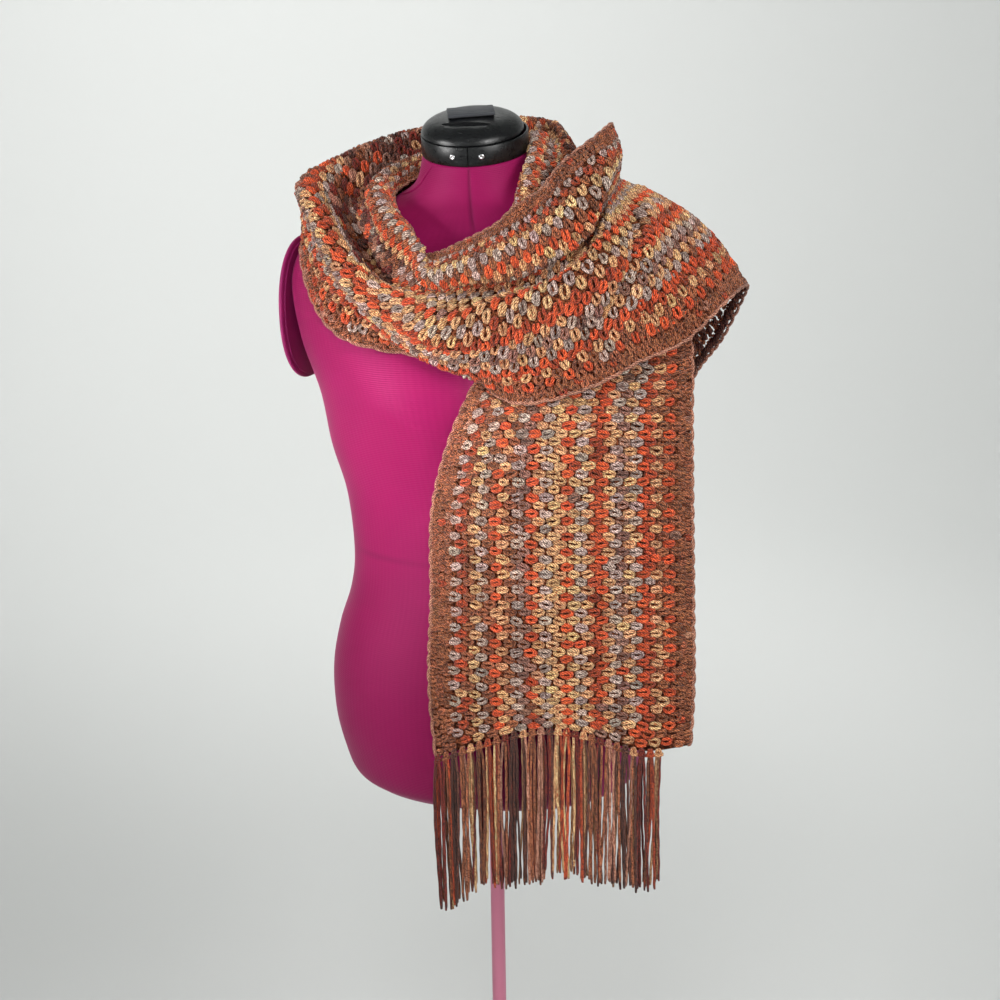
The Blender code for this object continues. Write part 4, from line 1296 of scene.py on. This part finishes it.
def yarnPiece(name, bundles, material):
    # joins bundles of tubes into one mesh, with its colours and its map along the strands
    points = np.concatenate([b["points"] for b in bundles])
    shift = np.concatenate([[0], np.cumsum([len(b["points"]) for b in bundles])[:-1]])
    loops = [(b["quads"] + s).ravel() for b, s in zip(bundles, shift)]
    loops += [(b["caps"] + s).ravel() for b, s in zip(bundles, shift)]
    totals = [np.full(len(b["quads"]), 4) for b in bundles]
    totals += [np.full(len(b["caps"]), b["caps"].shape[1]) for b in bundles]
    totals = np.concatenate(totals)
    starts = np.concatenate([[0], np.cumsum(totals)[:-1]])
    piece = meshPiece(name, points, np.concatenate(loops), starts, material)
    uv = np.concatenate([b["uv"] for b in bundles] + [b["capUv"] for b in bundles])
    layer = piece.data.uv_layers.new(name="strand")
    layer.data.foreach_set("uv", uv.astype(np.float32).ravel())
    for word, key in (("yarnColour", "colour"), ("fleckColour", "fleck")):
        colours = np.concatenate([b[key] for b in bundles]).astype(np.float32)
        layer = piece.data.color_attributes.new(name=word, type="FLOAT_COLOR", domain="POINT")
        layer.data.foreach_set("color", colours.ravel())
    return piece


# stitches
# the yarn of each row, from the strip's inner edge to its outer edge
rowYarns = (
    "brown", "brown", "brown", "grey", "rust", "brown", "straw", "grey", "brown", "orange", "tan", "brown",
    "grey", "mauve", "orange", "tan", "grey", "straw", "tan", "orange", "straw", "grey", "tan", "rust",
    "orange", "tan", "grey", "mauve", "tan", "grey", "orange", "rust", "tan", "brown", "orange", "brown",
    "brown", "brown",
)
stitch = {
    "repeats": 130,  # single crochet and chain, along the strip
    "radius": 2.1 * mm,
    "sides": 6,
    "borderRows": (3, 2),  # plain narrow rows at the inner and at the outer edge
    # half of a stitch, from its open end under the next row to its closed end: aside, across, out, in mm
    "leg": ((1.2, -5.9, -1.3), (2.6, -3.5, 1.2), (2.75, 0.6, 2.3), (1.9, 4.2, 1.7)),
    "tip": (0.0, 5.3, 0.6),
    "borderLeg": ((1.2, -4.4, -0.8), (2.0, -2.6, 0.7), (1.95, 0.4, 1.4), (1.3, 2.8, 0.9)),
    "borderTip": (0.0, 3.6, 0.2),
    "borderRadius": 1.95 * mm,
    # the chain of small loops along both edges: along, in and up, in mm
    "edgeLoop": ((-9.6, 1.2, -0.6), (-7.6, -0.6, 0.7), (-4.4, -1.9, 1.3), (-0.4, -2.4, 1.4), (3.8, -1.9, 1.3),
                 (7.2, -0.8, 0.8), (9.4, 1.0, -0.4)),
    "edgeRadius": 1.9 * mm,
    "edgeReach": 0.8,  # part of the loop's width that stands out from the strip
    # the edge loops' pinkish yarn, lighter than the border, is partly painted highlight on the loops
    "edgeHighlightYarn": "pinkish",
    "edgeBrightness": (0.95, 0.12),
    "edgeBrightLimits": (0.6, 1.3),
    "grain": 0.3,
    "brightLimits": (0.6, 1.25),
    "mixed": 0.06,  # part of the stitches that fall in another length of the variegated yarn
    "lengthsShown": 0.8,  # part of the stitches that are of a length's own yarns where one falls
    # how uneven the stitches are: turn, place in mm, size, their points and height in mm, brightness, each
    # channel of the colour, and radius
    "uneven": {"turn": math.radians(8), "place": 0.4, "size": 0.06, "points": 0.36, "height": 0.35,
               "brightness": 0.14, "channels": 0.03, "radius": 0.07},
}

# where other lengths of the variegated yarn fall, and where dark yarns also paint shade: rows of the settled cloth,
# parts across, the yarns there
yarnLengths = (
    # the first two lie over the shoulder loop's pocket: dark yarns, partly the yarn's own and partly painted shade in
    # the pocket
    (45.5, 51.0, 0.28, 0.64, ("brown", "maroon", "mauve", "umber", "pinkish", "umber")),
    (50.5, 58.8, 0.30, 0.55, ("brown", "umber", "maroon", "umber", "maroon", "pinkish")),
    (50.0, 59.5, 0.00, 0.19, ("orange", "rust", "pinkish", "tan")),
    (48.0, 54.5, 0.64, 0.80, ("rust", "orange", "pinkish", "brown")),
    (54.0, 61.0, 0.94, 1.00, ("rust", "pinkish")),
    (30.0, 41.0, 0.50, 1.00, ("brown", "rust", "brown", "tan", "umber")),
)
# rows of the settled cloth where holes stand open along the outer border
openRows = (84.0, 98.0)
# part across the strip from which the underside can be seen, and so has its own stitches
undersides = {"scarf_shoulder_loop": 0.0, "scarf_left_shoulder": 0.6, "scarf_back_tail": 0.75}


def stitchPath(leg, tip):
    out = [(-a, b, h) for a, b, h in leg]
    return np.array(out + [tip] + [(a, b, h) for a, b, h in reversed(leg)])


def colourArrays(names, tints):
    # the yarn's two colours for each name, each channel times its tint
    mains = np.array([linearColour(yarnShades[name][0]) for name in names])
    flecks = np.array([linearColour(yarnShades[name][1]) for name in names])
    mains[:, :3] *= tints
    flecks[:, :3] *= tints
    return mains.clip(0, 1), flecks


def stitchBundle(fine, along, across, names, path, radius, facing):
    # one tube for each stitch at these places, on the face that facing says
    count, uneven = len(along), stitch["uneven"]
    turn = chance.normal(0, uneven["turn"], count)
    shift = chance.normal(0, uneven["place"], (count, 2))
    size = chance.normal(1, uneven["size"], count)
    local = np.repeat(path[None], count, axis=0) * np.array([1, 1, facing])
    local = local + chance.normal(0, uneven["points"], local.shape)
    local[:, :, 2] += chance.normal(0, uneven["height"], count)[:, None]
    local[:, :, :2] *= size[:, None, None]
    # where the cloth is drawn wide the stitches keep nearly their own length
    drawn = np.linalg.norm(readGrid(fine["across"], along, across), axis=1) / cloth["width"]
    local[:, :, 1] /= drawn[:, None].clip(0.9, 1.8) ** 0.75
    cosine, sine = np.cos(turn)[:, None], np.sin(turn)[:, None]
    aside = local[:, :, 0] * cosine - local[:, :, 1] * sine + shift[:, :1]
    over = local[:, :, 0] * sine + local[:, :, 1] * cosine + shift[:, 1:]
    s = along[:, None] + aside * mm / cloth["length"]
    t = across[:, None] + over * mm / cloth["width"]
    normals = unit(readGrid(fine["normals"], s, t))
    spots = readGrid(fine["points"], s, t) + normals * local[:, :, 2:] * mm
    bright = chance.normal(1, uneven["brightness"], (count, 1)).clip(*stitch["brightLimits"])
    colours, flecks = colourArrays(names, bright * chance.normal(1, uneven["channels"], (count, 3)))
    radii = np.full(spots.shape[:2], radius) * chance.normal(1, uneven["radius"], (count, 1))
    return yarnTubes(spots, normals * facing, radii, colours, flecks, stitch["sides"], 1.0, stitch["grain"])


def stitchYarn(row, k, place, border):
    # the yarn of the stitch at this row, number and place of the strip
    name = rowYarns[row]
    if chance.random() < stitch["mixed"]:
        name = ("pinkish", "rust")[k % 2] if border else rowYarns[int(chance.integers(3, 36))]
    for start, end, inner, outer, yarns in yarnLengths:
        inside = start <= place * cloth["rows"] < end and inner <= (row + 0.5) / len(rowYarns) <= outer
        if inside and chance.random() < stitch["lengthsShown"]:
            name = yarns[int(chance.integers(len(yarns)))]
    return name


def stitchRows(fine, first, last, underside):
    # the rows of stitches between two places of the strip, and on its underside from this part across on
    rowCount = len(rowYarns)
    tall, short = [], []
    for row in range(rowCount):
        border = row < stitch["borderRows"][0] or row >= rowCount - stitch["borderRows"][1]
        spread = 2 if border else 1
        for k in range(stitch["repeats"] * spread):
            # every second row is shifted along, by half a stitch or in the borders by a quarter
            s = (k + 0.5 + 0.5 * (row % 2) / spread) / (stitch["repeats"] * spread)
            opened = row == rowCount - 2 and k % 2 and openRows[0] <= s * cloth["rows"] < openRows[1]
            if first <= s < last and not opened:
                (short if border else tall).append((s, (row + 0.5) / rowCount, stitchYarn(row, k, s, border)))
    bundles = []
    for group, leg, tip, radius in (
        (tall, stitch["leg"], stitch["tip"], stitch["radius"]),
        (short, stitch["borderLeg"], stitch["borderTip"], stitch["borderRadius"]),
    ):
        along, across, names = zip(*group)
        along, across = np.array(along), np.array(across)
        path = stitchPath(leg, tip)
        bundles.append(stitchBundle(fine, along, across, names, path, radius, 1))
        seen = across >= underside
        if seen.any():
            beside = along[seen] + 0.5 / stitch["repeats"]
            names = [name for name, keep in zip(names, seen) if keep]
            # the back tail's underside lies in shade: its stitches all take dark umber yarn as painted shade
            if underside == undersides["scarf_back_tail"]:
                names = ["umber"] * len(names)
            bundles.append(stitchBundle(fine, beside, across[seen], names, path[1:-1], radius, -1))
    return bundles


def edgeLinks(fine, first, last):
    # the chain of small loops along both edges
    bundles = []
    count = stitch["repeats"]
    path = np.array(stitch["edgeLoop"])
    along = np.array([(k + 0.5) / count for k in range(count)])
    along = along[(along >= first) & (along < last)]
    for edge in (0.0, 1.0):
        s = along[:, None] + path[None, :, 0] * mm / cloth["length"]
        t = np.full(s.shape, edge)
        inner = readGrid(fine["points"], s, np.full(s.shape, abs(edge - 0.03)))
        rim = readGrid(fine["points"], s, t)
        out = unit(rim - inner)
        normals = unit(readGrid(fine["normals"], s, t))
        spots = rim - out * path[None, :, 1:2] * mm * stitch["edgeReach"]
        spots = spots + normals * path[None, :, 2:] * mm
        bright = chance.normal(*stitch["edgeBrightness"], (len(along), 1)).clip(*stitch["edgeBrightLimits"])
        colours, flecks = colourArrays([stitch["edgeHighlightYarn"]] * len(along), bright)
        radii = np.full(spots.shape[:2], stitch["edgeRadius"])
        bundles.append(yarnTubes(spots, normals, radii, colours, flecks, stitch["sides"]))
    return bundles


# fringe
fringe = {
    "strands": 5,
    "radius": 1.6 * mm,
    "sides": 5,
    "frontReach": (-0.01, 0.89),  # part of the hem that carries it
    "backReach": (0.01, 0.99),
    "length": 152 * mm,
    "steps": 30,
    "start": (3 * mm, 1 * mm),  # above the hem's edge, and out from it
    "spread": 1.75 * mm,  # between the strands of a bundle
    "depths": (1.2 * mm, -1.8 * mm, 0.6 * mm, -2.4 * mm, 1.4 * mm),  # of each strand
    # how uneven the strands are: depth, lean, bow, tip, and radius as a part
    "uneven": (0.5 * mm, 2.6 * mm, 1.5 * mm, 3.5 * mm, 0.08),
    "ripple": 0.25 * mm,
    "knotBulge": 2.6 * mm,  # how far a strand comes out over its knot
    "fallBack": 1.5 * mm,  # and back in to its tip
    "tipTaper": 0.75,
    "ownYarn": 0.5,  # part of the strands that are of their bundle's own yarn
    "brightness": (1.08, 0.3),
    "brightLimits": (0.45, 1.4),
    "winding": 1.7,
    "grain": 0.38,
    # the knot's wrap under the hem and its loop over it: aside, up, out in mm
    "knot": (
        ((-4.6, -4.6, -0.5), (-3.6, -4.4, 3.0), (0.0, -4.2, 4.4), (3.6, -4.4, 3.0), (4.6, -4.6, -0.5)),
        ((-2.0, -5.5, 2.4), (-2.2, -1.5, 3.4), (-1.2, 1.8, 2.6), (1.2, 1.8, 2.6), (2.2, -1.5, 3.4),
         (2.0, -5.5, 2.4)),
    ),
    "knotRadius": 1.75 * mm,
    "knotSteps": 9,
    "knotSides": 6,
}
up = np.array([0, 0, 1.0])
# the yarn of each bundle, from the inner edge
fringeYarns = (
    "maroon", "brown", "umber", "brown", "tan", "brown", "rust", "brown", "maroon", "umber", "tan",
    "brown", "pinkish", "umber", "tan", "rust", "maroon", "tan", "brown", "maroon", "pinkish", "brown",
    "umber", "tan", "maroon", "rust", "tan",
)
# height of the front fringe's tips in mm, at parts of its way along the hem
frontTips = (
    (0.0, 562), (0.04, 552), (0.11, 570), (0.19, 592), (0.25, 592), (0.38, 598), (0.53, 613),
    (0.61, 612), (0.69, 606), (0.79, 604), (0.85, 601), (0.89, 596), (0.93, 597), (1.0, 605),
)


def hemPlace(fine, atEnd, part):
    # the hem's spot at this part across the strip, with the level ways out from it and along it
    s, t = np.full(3, atEnd), part + np.array([0, -0.01, 0.01])
    hem, before, after = readGrid(fine["points"], s, t)
    out = unit(readGrid(fine["normals"], s, t)[0])
    return hem, unit(out * (1, 1, 0)), unit(after - before)


def strandPath(hem, out, side, bundle, strand, bottom):
    # one strand of a bundle, from behind its knot down to its tip
    depth, lean, bow, tip, _ = fringe["uneven"]
    spread = (strand - (fringe["strands"] - 1) / 2) * fringe["spread"]
    depth = fringe["depths"][strand] + chance.normal(0, depth)
    lean = chance.normal(0, lean)
    bow = chance.normal(0, bow)
    bottom = bottom + chance.normal(0, tip)
    top = hem + up * fringe["start"][0] + out * fringe["start"][1]
    way = np.linspace(0, 1, fringe["steps"])
    fan = np.minimum(1, way * 6)
    sway = lean * way**1.3 + bow * np.sin(way * math.pi * 1.4)
    sway = sway + fringe["ripple"] * np.sin(way * 40 + bundle + strand)
    bulge = fringe["knotBulge"] * np.exp(-(((way - 0.05) / 0.04) ** 2))
    path = top - up * ((top[2] - bottom) * way)[:, None]
    path = path + side * (spread * (0.35 + 0.65 * fan) + sway)[:, None]
    return path + out * (depth * fan + bulge - fringe["fallBack"] * way)[:, None]


def fringeBundles(fine, atEnd, reach, tips):
    # the strands of all bundles, and their knots
    count = len(fringeYarns)
    paths, ups, radii, names = [], [], [], []
    knotPaths, knotUps, knotNames = [], [], []
    taper = np.ones(fringe["steps"])
    taper[-1] = fringe["tipTaper"]
    for bundle in range(count):
        part = (bundle + 0.5) / count
        hem, out, side = hemPlace(fine, atEnd, reach[0] + (reach[1] - reach[0]) * part)
        bottom = np.interp(part, *zip(*tips)) * mm if tips else hem[2] - fringe["length"]
        for strand in range(fringe["strands"]):
            paths.append(strandPath(hem, out, side, bundle, strand, bottom))
            ups.append(np.broadcast_to(out, paths[-1].shape))
            radii.append(fringe["radius"] * chance.normal(1, fringe["uneven"][-1]) * taper)
            own = chance.random() < fringe["ownYarn"]
            names.append(fringeYarns[bundle if own else int(chance.integers(count))])
        for points in fringe["knot"]:
            line = np.array([hem + side * a * mm + up * b * mm + out * h * mm for a, b, h in points])
            places = np.linspace(0, len(line) - 1, fringe["knotSteps"])
            knotPaths.append(smoothThrough(np.arange(len(line)), line, places))
            knotUps.append(np.broadcast_to(out, knotPaths[-1].shape))
            knotNames.append(fringeYarns[bundle])
    bright = chance.normal(*fringe["brightness"], (len(names), 1)).clip(*fringe["brightLimits"])
    colours, flecks = colourArrays(names, bright)
    strands = yarnTubes(np.array(paths), np.array(ups), np.array(radii), colours, flecks,
                        fringe["sides"], fringe["winding"], fringe["grain"])
    colours, flecks = colourArrays(knotNames, 1.0)
    radii = np.full((len(knotPaths), fringe["knotSteps"]), fringe["knotRadius"])
    knots = yarnTubes(np.array(knotPaths), np.array(knotUps), radii, colours, flecks, fringe["knotSides"])
    return [strands, knots]


def makeScarf():
    grid, rows, formSurface = settledCloth()
    print("cloth settled")
    points = foldCloth(smoothGrid(grid, cloth["fineness"]), rows, formSurface)
    across = np.gradient(points, axis=1) * (points.shape[1] - 1)
    fine = {"points": points, "normals": gridNormals(points), "across": across}
    acrylic, deep = makeAcrylicYarn(), makeYarnShadow()
    trims = {}
    for side, atEnd, reach, tips in (
        ("front", 0.0, fringe["frontReach"], frontTips),
        ("back", 1.0, fringe["backReach"], None),
    ):
        trim = yarnPiece("fringe" + side.capitalize(), fringeBundles(fine, atEnd, reach, tips), acrylic)
        trims["scarf_" + side + "_tail"] = [settle(trim, "yarn", "fringe_" + side)]
    total = 0
    for node, first, last, held, carried in stretches:
        word = "".join(part.capitalize() for part in node.split("_")[1:])
        start, end = rows[first] / cloth["rows"], rows[last] / cloth["rows"]
        low, high = rows[first] * cloth["fineness"], rows[last] * cloth["fineness"]
        # the back tail's base stops short of the outer border, where the holes are
        wide = points.shape[1] - (4 if node == "scarf_back_tail" else 0)
        middle, normals = (item[low:high + 1:2, :wide:2] for item in (points, fine["normals"]))
        # the base sheet stands for the yarn between the stitches, and its dark colour is painted shade
        base = meshPiece("cloth" + word, *wallArrays(middle, normals, cloth["baseThickness"]), deep)
        settle(base, "yarn", node)
        bundles = stitchRows(fine, start, end, undersides.get(node, 1.0)) + edgeLinks(fine, start, end)
        stitches = settle(yarnPiece("stitches" + word, bundles, acrylic), "yarn")
        parts = [stitches] + trims.get(node, [])
        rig.sheet(base, flat=(cloth["width"], cloth["length"] * (end - start)), held=held, rests_on=carried,
                 with_pieces=parts)
        triangles = sum(len(face.vertices) - 2 for face in stitches.data.polygons)
        total += triangles
        print(node, "stitches:", triangles, "triangles")
    print("scarf made,", total, "triangles of stitches")


makeCamera()
makeLights()
makeFloor()
makeForm()
makePlates()
makeCap()
makeStand()
makeScarf()
bpy.context.scene.view_settings.view_transform = "Standard"

sizes = {
    "cad": [[float(value) for value in corner] for corner in cadBounds],
    "visual": [[float(value) for value in corner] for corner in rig.bounds()],
}
with open("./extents.json", "w") as sizeFile:
    json.dump(sizes, sizeFile)
